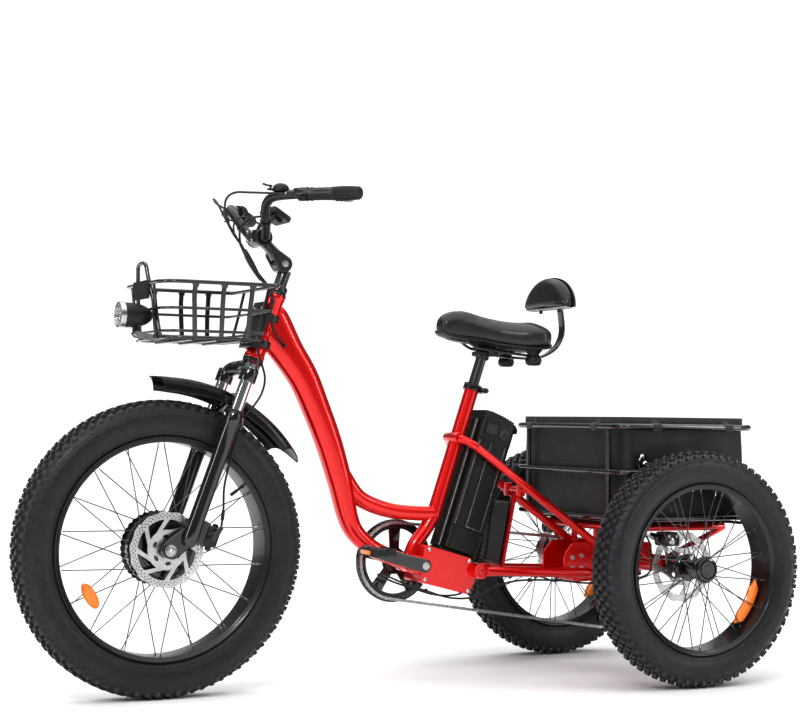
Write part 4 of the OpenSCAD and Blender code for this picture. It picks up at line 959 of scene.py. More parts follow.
def fender():
    """Arched shell whose tips run out to a point, with a rolled lip and a crease each side."""
    across = [(0, 404), (10, 403.8), (20, 403.2), (29, 402), (33, 400.6), (36, 400.4), (43, 397),
              (48, 393), (51.5, 387), (53, 377), (53, 369), (51, 369)]
    under = [(50, 380), (46, 390.5), (41, 394.6), (33, 398), (20, 400.6), (10, 401.4), (0, 401.6)]
    half = across + under
    ring = half + [(-y, r) for y, r in reversed(half[1:-1])]
    rings = []
    steps = 56
    for i in range(steps + 1):
        t = i / steps
        row = []
        for y, r in ring:
            e = (abs(y) / 53) ** 1.6
            a = math.radians((85.5 + 3.5 * e) * (1 - t) + (150 - 9 * e) * t)
            lift = 2.6 * max(0, 1 - t * 9)
            narrow = 1 - 0.16 * max(0, 1 - t * 4) ** 1.5 - 0.1 * max(0, (t - 0.8) * 5) ** 1.5
            q = r - 2 + lift
            row.append((FRONT.x + q * math.cos(a), y * narrow, FRONT.z + q * math.sin(a)))
        rings.append(row)
    s = Shape()
    s.rings(rings)
    piece("mudguard", s, FENDER_PLASTIC, "fork_sprung", "front_fender", angle=45)
    b = Shape()
    b.block((30, 32, 3), (LEG_U - 4, 0, 383), None, 1.5)
    b.block((3, 26, 24), (LEG_U - 8, 0, 394), None, 1)
    b.bolt((LEG_U + 5, 7, 384), (0, 0, 1), 4, 3)
    b.bolt((LEG_U + 5, -7, 384), (0, 0, 1), 4, 3)
    b.bolt((LEG_U - 6, 0, 396), (1, 0, 0), 5, 4)
    steer_piece("mudguard_bracket", b, STEEL, "fork_sprung")


def caliper(name, nodes, place, body, arm_body, arm_node):
    """Disc brake caliper; its frame has Z along the axle, X along the rotor's rim, Y outwards."""
    s = Shape()
    shell = round_corners([(-24, -15), (22, -16), (25, -4), (23, 14), (8, 18), (-14, 18), (-25, 9)],
                          6, 4)
    s.prism(shell, 3.6, 18, place, 2)
    s.prism(shell, -26, -3.6, place, 3)
    s.block((40, 7, 36), (0, 15.5, -4), place, 2)
    s.lathe([(0, -31), (11, -31), (13.5, -29), (14, -24), (0, -24)],
            place @ Matrix.Translation((0, 2, 0)), 36)
    s.block((12, 12, 8), (-27, 4, -14), place, 2)
    s.block((12, 12, 8), (26, 4, -14), place, 2)
    piece(name, s, SATIN, body, nodes)
    b = Shape()
    turn = place.to_3x3()
    for x in (-27, 26):
        b.bolt(place @ Vector((x, 4, -10)), turn @ Vector((0, 0, 1)), 4.2, 4)
    b.bolt(place @ Vector((-13, 9, 18)), turn @ Vector((0, 0, 1)), 4, 3)
    b.bolt(place @ Vector((10, 9, 18)), turn @ Vector((0, 0, 1)), 4, 3)
    b.lathe([(0, 18), (9, 18), (9, 19.6), (7, 20.6), (0, 20.6)],
            place @ Matrix.Translation((0, -4, 0)), 32)
    piece(name + "_bolts", b, STEEL, body)
    a = Shape()
    a.prism(link_outline((0, 2), 8.5, (26, 12), 4.5), -36.5, -33, place, 0.8)
    a.lathe([(0, -39), (5.5, -39), (6.2, -38), (6.2, -33), (0, -33)],
            place @ Matrix.Translation((0, 2, 0)), 6)
    a.rod(place @ Vector((26, 12, -38)), place @ Vector((26, 12, -31)), 3.4)
    piece(name + "_arm", a, ALLOY_DARK, arm_body, arm_node)


# ---------- frame ----------

DOWN = [
    (345, 0, 882, 105, 44), (300, 0, 818, 84, 50), (258, 0, 757, 76, 54), (226, 0, 690, 70, 56),
    (188, 0, 600, 66, 56), (155, 0, 500, 60, 54), (134, 0, 418, 50, 52), (111, 0, 374, 45, 50),
    (67, 0, 337, 42, 48), (10, 0, 312, 40, 46), (-39, 0, 298, 38, 44)]
STEP = [(146, 0, 515, 42, 40), (113, 0, 470, 41, 40), (76, 0, 447, 40, 40), (12, 0, 428, 38, 38),
        (-60, 0, 421, 37, 36), (-112, 0, 420, 37, 36)]
STAY_Y = 62
STAY_TOP = (-162, 612)


def fat_tube(shape, points, steps=8, power=2.3):
    """Tube through points that carry a depth and a width."""
    path = curve(points, steps)
    shape.tube(path, [(p[3] / 2, p[4] / 2) for p in path], 48, side=(0, 1, 0), power=power)


def across(shape, x, z, y0, y1, r, sides=36, edge=1.0):
    """Round bar across the tricycle with eased ends."""
    shape.lathe([(0, y0), (r - edge, y0), (r, y0 + edge), (r, y1 - edge), (r - edge, y1), (0, y1)],
                upright((x, 0, z)), sides)


def main_frame():
    """Head tube, headset, down tube, step tube, welds and seat tube."""
    s = Shape()
    mid = (HEAD_LOW + HEAD_HIGH) / 2
    s.lathe([(15, HEAD_LOW), (24, HEAD_LOW), (25, HEAD_LOW + 1.5), (25, HEAD_LOW + 9),
             (23.2, HEAD_LOW + 12), (22.8, mid), (23.2, HEAD_HIGH - 12), (24.4, HEAD_HIGH - 9),
             (24.4, HEAD_HIGH - 1.5), (23.6, HEAD_HIGH), (15, HEAD_HIGH)], STEER, 64)
    piece("steering_head", s, RED, "frame", "head_tube")
    h = Shape()
    h.lathe([(14.6, HEAD_LOW - 7), (25.4, HEAD_LOW - 7), (26, HEAD_LOW - 6), (26, HEAD_LOW - 3),
             (25.2, HEAD_LOW - 2.6), (25.2, HEAD_LOW - 2), (26, HEAD_LOW - 1.6), (25.5, HEAD_LOW),
             (14.6, HEAD_LOW)], STEER, 64, loop=True)
    h.lathe([(14.6, HEAD_HIGH), (24.6, HEAD_HIGH), (25, HEAD_HIGH + 1.5), (24.6, HEAD_HIGH + 3),
             (23.6, HEAD_HIGH + 3.4), (22.6, HEAD_HIGH + 6.5), (14.6, HEAD_HIGH + 7)], STEER, 64,
            loop=True)
    piece("headset_cups", h, GLOSS, "frame", "headset")

    s = Shape()
    nose = [(366, 0, 903, 26, 20), (362, 0, 900, 64, 32), (356, 0, 894, 90, 40)]
    fat_tube(s, nose + DOWN, 8, 2.5)
    piece("main_down_tube", s, RED, "frame", "down_tube")
    w = Shape()
    lip = []
    for k in range(48):
        a = TURN * k / 48
        h_at, y_at = 583 + 51 * math.sin(a), 22.2 * math.cos(a)
        u = -math.sqrt(max(0, 23.4 ** 2 - y_at ** 2))
        lip.append(STEER @ Vector((u, y_at, h_at - 4)))
    w.tube(lip, [2.3 + 0.4 * (i % 2) for i in range(48)], 8, True)
    w.bead((-111, 0, 420), (1, 0, 0), 18.4, 2.3)
    for y in (-34, 34):
        w.bead((BB.x, y * 0.62, BB.z), (0, 1, 0), 22.2, 2)
    piece("weld_beads", w, RED, "frame")
    s = Shape()
    fat_tube(s, STEP)
    piece("main_step_tube", s, RED, "frame", "step_tube")

    s = Shape()
    s.lathe([(0, -322), (18, -322), (18, -3), (18.2, -1.5), (17.6, 0), (14, 0), (13.9, -30),
             (13.9, -290), (0, -290)], SEAT, 48)
    path = curve([(-114, 0, 440), (-106, 0, 416), (-84, 0, 381), (-56, 0, 346), (-43, 0, 318),
                  (-39, 0, 300)], 8)
    s.tube(path, 18, 48, side=(0, 1, 0))
    s.lathe([(10.1, -50), (20.6, -50), (22, -48.8), (22, 48.8), (20.6, 50), (10.1, 50)],
            upright(BB), 56, loop=True)
    piece("main_seat_tube", s, RED, "frame", "seat_tube")


def rear_triangle():
    """Seat stays, chain stays and the braces between them."""
    s = Shape()
    for y in (-34, 34):
        out = math.copysign(1, y)
        s.lathe([(13.5, 0), (13.5, 32.6 * out), (12.8, 34 * out), (10.6, 34 * out),
                 (10.2, 31 * out), (0, 31 * out)],
                upright((STAY_TOP[0], 0, STAY_TOP[1])), 40)
    half = Shape()
    stay = curve([(STAY_TOP[0], 24, STAY_TOP[1]), (-168, 40, 608), (-178, 54, 601), (-194, 61, 590),
                  (-214, STAY_Y, 576), (-390, STAY_Y, 453.2), (-559, STAY_Y, 335),
                  (-590, STAY_Y, 313)], 6)
    half.tube(stay, 10.5, 28)
    half.tube([(-204, 56, 277), (-230, 56.4, 276), (-520, 61.6, 263.8), (-540, STAY_Y, 263)],
              [13, 13, 13, 11.5], 32)
    half.lathe([(0, 40), (19, 40), (20, 41), (20, 68.6), (19, 70), (14, 70), (13.4, 69), (12.6, 69),
                (12, 70), (5, 70), (4.6, 68.6), (0, 68.4)],
               upright((-210, 0, 277)), 48)
    half.bead((-228, 56.3, 276.2), (-1, 0.02, -0.04), 13.4, 1.9)
    half.bead((-306, STAY_Y - 7, 276), (0, 1, 0), 8.2, 1.6, 20)
    half.bead((-344, STAY_Y - 9, 479), (0, 1, 0), 8.2, 1.6, 20)
    half.mirrored()
    s.add(half.points, half.faces)
    across(s, -344, 479, -STAY_Y, STAY_Y, 8)
    across(s, -305, 276, -STAY_Y + 4, STAY_Y - 4, 8)
    s.rod((-305, 0, 276), (-344, 0, 479), 7, 24)
    s.rod((-316, 0, 335), (-290, 0, 331), 4.5)
    s.rod((-334, 0, 428), (-306, 0, 422), 4.5)
    for y in (-32, 32):
        s.block((20, 16, 34), (-342, y, 479), None, 3)
    piece("rear_triangle", s, RED, "frame", "rear_frame")


def carrier():
    """Axle plates with their tubes, and the rack above them."""
    cheek = round_corners([(-462, 266), (-462, 312), (-488, 342), (-640, 346), (-735, 338),
                           (-735, 300), (-700, 262), (-640, 244), (-500, 240)], 9, 4)
    outer = round_corners([(-596, 262), (-596, 290), (-640, 345.5), (-735, 338), (-735, 300),
                           (-700, 262)], 8, 4)
    s = Shape()
    for y0, y1 in ((49, 55), (-55, -49)):
        s.prism(cheek, y0, y1, UPRIGHT, 0.8)
    s.prism(outer, -97, -91, UPRIGHT, 0.8)
    for y0, y1 in ((54, 225), (-225, -96)):
        s.lathe([(10.1, y0), (22, y0), (23, y0 + 1), (23, y1 - 1), (22, y1), (10.1, y1)],
                upright((REAR.x, 0, REAR.z)), 56, loop=True)
    across(s, -724, 322, -97, -49, 8)
    across(s, -606, 274, -97, -49, 8)
    s.block((34, 100, 24), (-523, 0, 252), None, 3)
    for y in (57, -57, 222, -222):
        s.bead((REAR.x, y, REAR.z), (0, 1, 0), 23.4, 2)
    piece("half_axle_carrier", s, RED, "frame", "axle_carrier")

    r = Shape()
    for y in (-170, 170):
        r.rod((-534, y, 385), (-884, y, 385), 10, 32)
        r.rod((-876, y, 381), (-691.2, y, 301.7), 8, 28)
        r.rod((-545, y, 381), (-653, y, 305.6), 8, 28)
        k = y / 170
        for x in (-560, -694):
            r.block((12, 14, 44), (x, k * 53, 360), None, 2)
    for x in (-560, -694, -868):
        across(r, x, 385, -170, 170, 10)
        for y in (-160, 160):
            r.bead((x, y, 385), (0, 1, 0), 10.2, 1.7, 24)
    piece("cargo_rack", r, RED, "frame", "rack")


def electrics():
    """Controller case, its lid and screws, the battery dock and the wiring box."""
    case = [(-58, 346), (-192, 308), (-205, 255), (-184, 217), (-45, 253)]
    side = round_corners(case, 7, 4)
    s = Shape()
    s.prism(side, -44, 44, UPRIGHT, 1.5)
    piece("controller_box", s, RED, "frame", "controller_case")
    c = Shape()
    c.prism(side, 44, 47, UPRIGHT, 0.8)
    piece("controller_lid", c, RED, "frame", "controller_cover")
    b = Shape()
    for x, z in ((-72, 333), (-186, 301), (-182, 226), (-60, 259)):
        b.lathe([(0, 0), (5.2, 0), (5.2, 1), (4.2, 2.2), (2.4, 3), (2.2, 1.6), (0, 1.5)],
                aim((x, 47, z), (0, 1, 0)), 24)
    for sign in (-1, 1):
        for x, z in ((-615, 322), (-590, 284), (-560, 290), (-512, 308), (-484, 304), (-512, 276),
                     (-484, 276)):
            b.bolt((x, sign * 55, z), (0, sign, 0), 6.5, 6)
    piece("screw_heads", b, ALLOY, "frame", "frame_bolts")

    d = Shape()
    for x, y, wide in ((-27, 0, 36), (-34, 0, 44)):
        d.block((6, wide, 340), (x, y, -236), SEAT, 1.2)
    for y in (-19, 19):
        d.block((12, 3.4, 340), (-30.5, y, -236), SEAT, 1)
    for y in (-12, 12):
        d.block((9, 2.6, 338), (-36.5, y, -236), SEAT, 0.8)
    for z in (-130, -290):
        d.lathe([(0, -22), (6, -22), (6, -26), (0, -26)],
                SEAT @ Matrix.Translation((0, 0, z)) @ Matrix.Rotation(math.pi / 2, 4, "Y"), 24)
    piece("dock_rail", d, SATIN, "frame", "battery_dock")
    t = Shape()
    for y in (-21, 21):
        t.block((3, 2.4, 338), (-29, y, -236), SEAT, 0.6)
    piece("dock_edge_strips", t, ALLOY, "frame")
    f = Shape()
    f.block((104, 62, 12), (-82, 0, -413), SEAT, 3)
    f.block((40, 74, 14), (-60, 0, -420), SEAT, 4)
    piece("dock_foot", f, PLASTIC, "frame")

    s = Shape()
    box = round_corners([(-266, 453), (-316, 449), (-286, 288), (-245, 301)], 7, 4)
    s.prism(box, -30, 30, UPRIGHT, 4)
    lid = inset(round_corners([(-266, 453), (-316, 449), (-286, 288), (-245, 301)], 7, 4), 5)
    s.prism(lid, 29, 31.5, UPRIGHT, 1)
    s.block((54, 62, 6), (-291, 0, 440), None, 2)
    path = curve([(-255, 14, 462), (-247, 17, 420), (-243, 18, 360), (-234, 18, 310),
                  (-226, 16, 286)], 14)
    s.tube(path, [11 + 1.2 * math.sin(i * 1.6) for i in range(len(path))], 20)
    piece("wiring_case", s, GREY_PLASTIC, "frame", "wiring_box")


def battery():
    """Battery case with its ribs, lip, key lock and charge port."""
    front, rear, half = -37.5, -133.5, 43
    s = Shape()
    body = round_corners([(front, half), (rear, half), (rear, -half), (front, -half)], 11, 6)
    s.prism(body, -345, -112, SEAT, 0.6)
    s.prism(inset(body, -0.8), -406, -344, SEAT, 2.5)
    s.prism(inset(body, -0.5), -112.5, -60, SEAT, 0.8)
    top = [(front, -62), (front, -42), (front - 20, -40), (front - 50, -42), (front - 78, -47),
           (front - 96, -54), (front - 103, -62), (front - 104, -72), (front - 99, -73),
           (front - 97, -64)]
    s.prism(top, -half + 1, half - 1, SEAT @ UPRIGHT, 2.5)
    for i in range(7):
        s.block((4, 74, 2.6), (front - 34 - 9 * i, 0, -41.2 - 0.16 * i * i), SEAT, 1)
    for side in (-1, 1):
        y = side * (half + 0.2)
        for x in (-52, -71, -92, -115):
            s.block((3.2, 1.8, 226), (x, y, -230), SEAT, 0.7)
        s.block((64, 1.6, 4), (-84, y, -117), SEAT, 0.7)
        s.lathe([(0, 0), (7, 0), (7, 1.8), (6, 2.4), (3.4, 2.4), (3, 1.4), (0, 1.4)],
                SEAT @ aim((-112, side * 43.6, -380), (0, side, 0)), 32)
    piece("battery_case", s, SHELL, "battery_pack", "battery")
    t = Shape()
    for side in (-1, 1):
        for x in (-43, -76, -119):
            t.block((1.5, 1.2, 224), (x, side * (half + 0.4), -230), SEAT, 0.4)
        t.block((44, 1.2, 1.5), (-97.5, side * (half + 0.4), -341), SEAT, 0.4)
    piece("battery_light_lines", t, STEEL, "battery_pack")
    g = Shape()
    g.block((30, 2.4, 26), (-66, half + 1.2, -84), SEAT, 2)
    g.block((12, 4, 5), (-66, half + 1.6, -96), SEAT, 1.5)
    piece("charge_port_cover", g, GREY_PLASTIC, "battery_pack")
    k = Shape()
    k.lathe([(0, 0.6), (8.4, 0.6), (9, 2.4), (13.6, 2.6), (14.4, 1.4), (14.4, -1), (0, -1)],
            SEAT @ aim((-105, half + 0.6, -88), (0, 1, 0)), 40)
    k.block((2, 2.4, 9), (-105, half + 2, -88), SEAT, 0.5)
    for x in (-47, -123):
        k.bolt(SEAT @ Vector((x, half + 0.5, -108)), (0, 1, 0), 3, 1.6)
    piece("key_lock", k, ALLOY_DARK, "battery_pack")


# ---------- baskets and lamp ----------


def front_basket():
    """Wire basket with its loop and blank plate, and the bracket on the head tube."""
    def ring(z, front, rear, half):
        return round_corners([(front, half - 30, z), (front - 26, half, z), (rear, half, z),
                              (rear, -half, z), (front - 26, -half, z),
                              (front, -half + 30, z)], 20, 6)
    top, floor = 965, 838
    s = Shape()
    for z, front, rear, half, r in ((top, 668, 382, 150, 4.6), (905, 661, 396, 144, 3.4),
                                    (853, 652, 410, 137, 3.4), (floor, 646, 418, 130, 3.6)):
        s.tube(ring(z, front, rear, half), r, 16, True)
    for y in (-1, 1):
        for x in (450, 520, 590):
            path = [(x, y * 149, top - 1), (x + 2, y * 146.5, 935), (x * 0.97 + 18, y * 143.6, 905),
                    (x * 0.93 + 38, y * 137, 853), (x * 0.9 + 52, y * 130, floor)]
            s.tube(curve(path, 3), [(2.2, 5.6)] * 13, 16, side=(1, 0, 0), power=4)
            s.tube([(x, y * 149.5, top), (x, y * 148.6, top - 12)], [(3.4, 10), (2.4, 6.6)], 16,
                   side=(1, 0, 0), power=3)
    for y in (-80, 80):
        for a, b, c, d in ((667.5, 660.6, 651.6, 646), (382.5, 396.4, 410.4, 418)):
            path = [(a, y, top - 1), (b, y, 905), (c, y, 853), (d, y * 0.94, floor)]
            s.tube(path, [(2.2, 6.6)] * 4, 16, side=(0, 1, 0), power=4)
    for y in (-110, -82, -55, -27, 0, 27, 55, 82, 110):
        s.rod((418, y, floor - 1), (646, y, floor - 1), 2.6, 10)
    for x in (470, 530, 590):
        s.rod((x, -131, floor - 4.4), (x, 131, floor - 4.4), 3, 12)
    loop = curve([(652, 62, floor), (657, 60, 902), (664, 48, 950), (668, 36, 985), (670, 29, 1006),
                  (670, 14, 1013), (670, -14, 1013), (670, -29, 1006), (668, -36, 985),
                  (664, -48, 950), (657, -60, 902), (652, -62, floor)], 6)
    s.tube(loop, 4.8, 16, side=(1, 0, 0))
    for y in (-30, 30):
        s.rod((398, y, 905), (379, y, 905), 3.5)
        s.rod((419, y, floor), (403, y, floor), 3.5)
    piece("wire_basket", s, GLOSS, "frame", "front_basket")
    p = Shape()
    plate = round_corners([(57, 929), (57, 972), (-57, 972), (-57, 929)], 6, 5)
    p.sheet([plate] + [circle(3, 16, (y, z)) for y in (-46, 46) for z in (940, 961)], 669.5, 673.5,
            Matrix(((0, 0, 1, 0), (1, 0, 0, 0), (0, 1, 0, 0), (0, 0, 0, 1))))
    piece("name_plate_blank", p, PLASTIC, "frame")

    b = Shape()
    b.block((5, 84, 118), (29.5, 0, HEAD_LOW + 77), None, 2)
    for y in (-26, 26):
        b.block((22, 8, 100), (21, y, HEAD_LOW + 70), None, 2)
    for h in (HEAD_LOW + 30, HEAD_LOW + 96):
        b.lathe([(23.2, h), (28.4, h), (29, h + 1), (29, h + 17), (28.4, h + 18), (23.2, h + 18)],
                None, 56, loop=True)
        b.block((16, 20, 16), (-30, 0, h + 9), None, 3)
    steer_piece("basket_mount", b, SATIN, "frame", "basket_bracket")
    n = Shape()
    for h in (HEAD_LOW + 39, HEAD_LOW + 105):
        n.bolt((-30, 10, h), (0, 1, 0), 4.5, 4)
    for y in (-24, 24):
        for h in (HEAD_LOW + 36, HEAD_LOW + 118):
            n.bolt((32, y, h), (1, 0, 0), 4.5, 3.4)
    steer_piece("basket_mount_bolts", n, STEEL, "frame")


def headlight():
    """Bullet lamp with its bezel, reflector and glass, on two arms."""
    lamp = Vector((651, 45, 889))
    nose = aim(lamp, (1, 0, 0))
    s = Shape()
    s.lathe([(0, 8), (7, 8.4), (12, 11), (17, 17), (22, 26), (26, 38), (28, 50), (28.6, 60),
             (27.8, 60.6), (27.8, 62.4), (28.8, 63), (29, 84), (27, 84), (26, 66), (0, 60)],
            nose, 64)
    for i in range(9):
        s.block((1.4, 4, 16), (16.5 + i * 1.2, 0, 20 + i * 3.6), nose, 0.5)
    s.block((14, 10, 22), (698, lamp.y, 856), None, 2)
    piece("lamp_housing", s, PLASTIC, "lamp", "headlight")
    r = Shape()
    r.lathe([(29.4, 76), (30.2, 77), (30.2, 88), (29.2, 89.4), (26.4, 89.6), (26, 88), (26, 76)],
            nose, 64, loop=True)
    piece("lamp_bezel", r, STEEL, "lamp")
    m = Shape()
    m.lathe([(0, 62), (9, 63), (16, 68), (22, 76), (25.8, 86)], nose, 48)
    piece("lamp_reflector", m, CHROME, "lamp")
    g = Shape()
    g.lathe([(0, 88.6), (14, 88.2), (25.8, 86.6), (25.8, 85), (14, 86.2), (0, 86.6)], nose, 48)
    piece("lamp_glass", g, LENS, "lamp")
    e = Shape()
    e.lathe([(0, 74), (5, 74), (6, 72), (6, 62), (0, 62)], nose, 32)
    piece("lamp_led", e, AMBER_WARM, "lamp")
    b = Shape()
    for y in (lamp.y - 8, lamp.y + 8):
        b.prism(round_corners([(643, 832), (643, 842), (690, 850), (699, 853), (706, 846),
                               (698, 838)], 3, 3), y - 2, y + 2, UPRIGHT, 0.6)
    across(b, 698, 846, lamp.y - 13, lamp.y + 13, 2.5, 16)
    b.bolt((698, lamp.y + 10, 846), (0, 1, 0), 4.6, 4)
    piece("lamp_arms", b, STEEL, "frame", "lamp_bracket")


CARGO_X1, CARGO_X0, CARGO_HALF = -501, -904, 272
RAIL_Z = 645


def cargo():
    """Cargo basket and its canvas liner; returns the liner."""
    def ring(z, inside):
        a, b, y = CARGO_X1 - 0.3 * inside, CARGO_X0 + inside, CARGO_HALF - 0.4 * inside
        return [(a, y, z), (b, y, z), (b, -y, z), (a, -y, z)]
    s = Shape()
    for z, inside, r, bend in ((RAIL_Z, 0, 8, 50), (530, 4, 7.5, 46), (413, 10, 6.5, 42)):
        s.tube(round_corners(ring(z, inside), bend, 10), r, 20, True)
    for y in (-196, 196):
        s.rod((CARGO_X1, y, RAIL_Z), (CARGO_X1 - 3, y, 413), 6, 20)
        s.rod((CARGO_X0, y, RAIL_Z), (CARGO_X0 + 10, y, 413), 6, 20)
    for side in (-1, 1):
        bracket = [(-566, 534), (-544, 530), (-540, 556), (-552, 582), (-570, 578)]
        s.prism(round_corners(bracket, 7, 4), side * 271 - 4, side * 271 + 3, UPRIGHT, 1)
    for y in (-170, -60, 60, 170):
        s.rod((CARGO_X1 - 3, y, 406), (CARGO_X0 + 10, y, 406), 4, 12)
    for x in (-560, -694, -868):
        s.rod((x, -264, 399), (x, 264, 399), 4, 12)
    piece("cargo_frame", s, GLOSS, "frame", "cargo_basket")
    b = Shape()
    for side in (-1, 1):
        for x, z in ((-551, 571), (-560, 554)):
            b.lathe([(0, 0), (6, 0), (6.4, 1.5), (5, 4.4), (2.4, 6), (0, 6.3)],
                    aim((x, side * 274, z), (0, side, 0)), 24)
    piece("hinge_studs", b, CHROME, "frame")

    length, wide, floor, top = 368, 512, 412, 664
    mid_x = (CARGO_X0 + CARGO_X1) / 2 + 1

    def wall(level, off):
        """One horizontal loop of the liner, which bellies out between rails and sags a little."""
        t = (level - floor) / (top - floor)
        x, y = length / 2 - off, wide / 2 - off
        outline = round_corners([(x, y), (-x, y), (-x, -y), (x, -y)], 30, 6)
        full = []
        for i, p in enumerate(outline):
            q = outline[(i + 1) % len(outline)]
            steps = max(1, round(math.dist(p, q) / 14))
            full += [(p[0] + (q[0] - p[0]) * j / steps, p[1] + (q[1] - p[1]) * j / steps)
                     for j in range(steps)]
        out = []
        for x, y in full:
            dent = (1.8 * math.sin(y / 41 + t * 2.2) * math.sin(x / 37 - t * 1.6)
                    + 1.2 * math.sin(t * 9 + x / 23 - y / 29))
            belly = (3.0 * math.sin(math.pi * min(1, t * 1.15)) * (1 - 0.4 * t)
                     + dent * (1 - t * 0.6))
            k = 1 + belly / max(80, math.hypot(x, y))
            out.append((mid_x + x * k, y * k, level))
        return out
    levels = [floor + (top - floor) * i / 20 for i in range(21)]
    s = Shape()
    outside = [wall(z, 0) for z in levels]
    rolled = [wall(top + 1.2, 1.2)]
    inside = [wall(z, 2.4) for z in reversed(levels[1:])] + [wall(floor + 2.4, 2.4)]
    s.rings(outside + rolled + inside)
    return piece("cargo_liner_cloth", s, CANVAS, "frame", "cargo_liner", angle=60)


def liner_trim():
    """Stiff hem round the liner's mouth and the loops that hold it to the rail."""
    mid_x = (CARGO_X0 + CARGO_X1) / 2 + 1
    s = Shape()
    mouth = round_corners([(mid_x + 185, 257), (mid_x - 185, 257), (mid_x - 185, -257),
                           (mid_x + 185, -257)], 31, 8)
    path = [(x, y, 661) for x, y in mouth]
    s.tube(path, [(2.0, 8.5)] * len(path), 16, True, side=(0, 0, 1), power=5)
    hem = piece("liner_hem", s, TAPE, "frame")
    w = Shape()
    spots = [((CARGO_X1, y), (0, 1, 0)) for y in (-182, 135)]
    spots += [((CARGO_X0, y), (0, 1, 0)) for y in (-160, 160)]
    spots += [((x, side * CARGO_HALF), (1, 0, 0)) for x in (-596, -817) for side in (-1, 1)]
    for (x, y), along in spots:
        at = Vector((x, y, RAIL_Z))
        a = Vector(along)
        w.tube([at - a * 13, at - a * 12, at + a * 12, at + a * 13], [7.6, 9.4, 9.4, 7.6], 28)
        inward = Vector((mid_x - x, 0, 0) if along[1] else (0, -y, 0)).normalized()
        for z in (0, 12):
            w.tube([at + inward * 6 + Vector((0, 0, 2 + z * 0.3)),
                    at + inward * 12 + Vector((0, 0, 9 + z * 0.2)),
                    at + inward * 16 + Vector((0, 0, 10 + z))], [(1.6, 12.5)] * 3, 12,
                   side=tuple(a), power=4)
    loops = piece("liner_loops", w, TAPE, "frame")
    return hem, loops


# ---------- drive ----------

CHAIN_Y = -80
CHAIN_WHEELS = [((REAR.x, REAR.z), 40.6, -1), ((BB.x, BB.z), 97, -1), ((-665, 124), 22.5, -1),
                ((-680, 212), 22.5, 1)]


def chain_line():
    """The chain's pitch line over its four wheels, as points in X and Z a pitch apart."""
    def run(i):
        (a, ra, sa), (b, rb, sb) = CHAIN_WHEELS[i], CHAIN_WHEELS[(i + 1) % 4]
        d = Vector(b) - Vector(a)
        return math.atan2(d.y, d.x) - math.asin((sb * rb - sa * ra) / d.length)
    pts = []
    for i, (centre, r, s) in enumerate(CHAIN_WHEELS):
        start = run((i + 3) % 4)
        turn = s * (((run(i) - start) * s) % TURN)
        for j in range(41):
            a = start + turn * j / 40
            pts.append(Vector(centre) - s * r * Vector((-math.sin(a), math.cos(a))))
    pts.append(pts[0])
    total = sum((b - a).length for a, b in zip(pts, pts[1:]))
    count = 2 * round(total / 12.7 / 2)
    out, gone, want = [], 0.0, 0.0
    for a, b in zip(pts, pts[1:]):
        span = (b - a).length
        while span and want <= gone + span and len(out) < count:
            out.append(a.lerp(b, (want - gone) / span))
            want += total / count
        gone += span
    return out


def toothed(count, r_root, r_tip):
    """Outline of a sprocket."""
    out = []
    for i in range(count):
        for share, r in ((0.0, r_root), (0.16, r_root), (0.38, r_tip), (0.5, r_tip),
                         (0.72, r_root)):
            a = TURN * (i + share) / count
            out.append((r * math.cos(a), r * math.sin(a)))
    return out


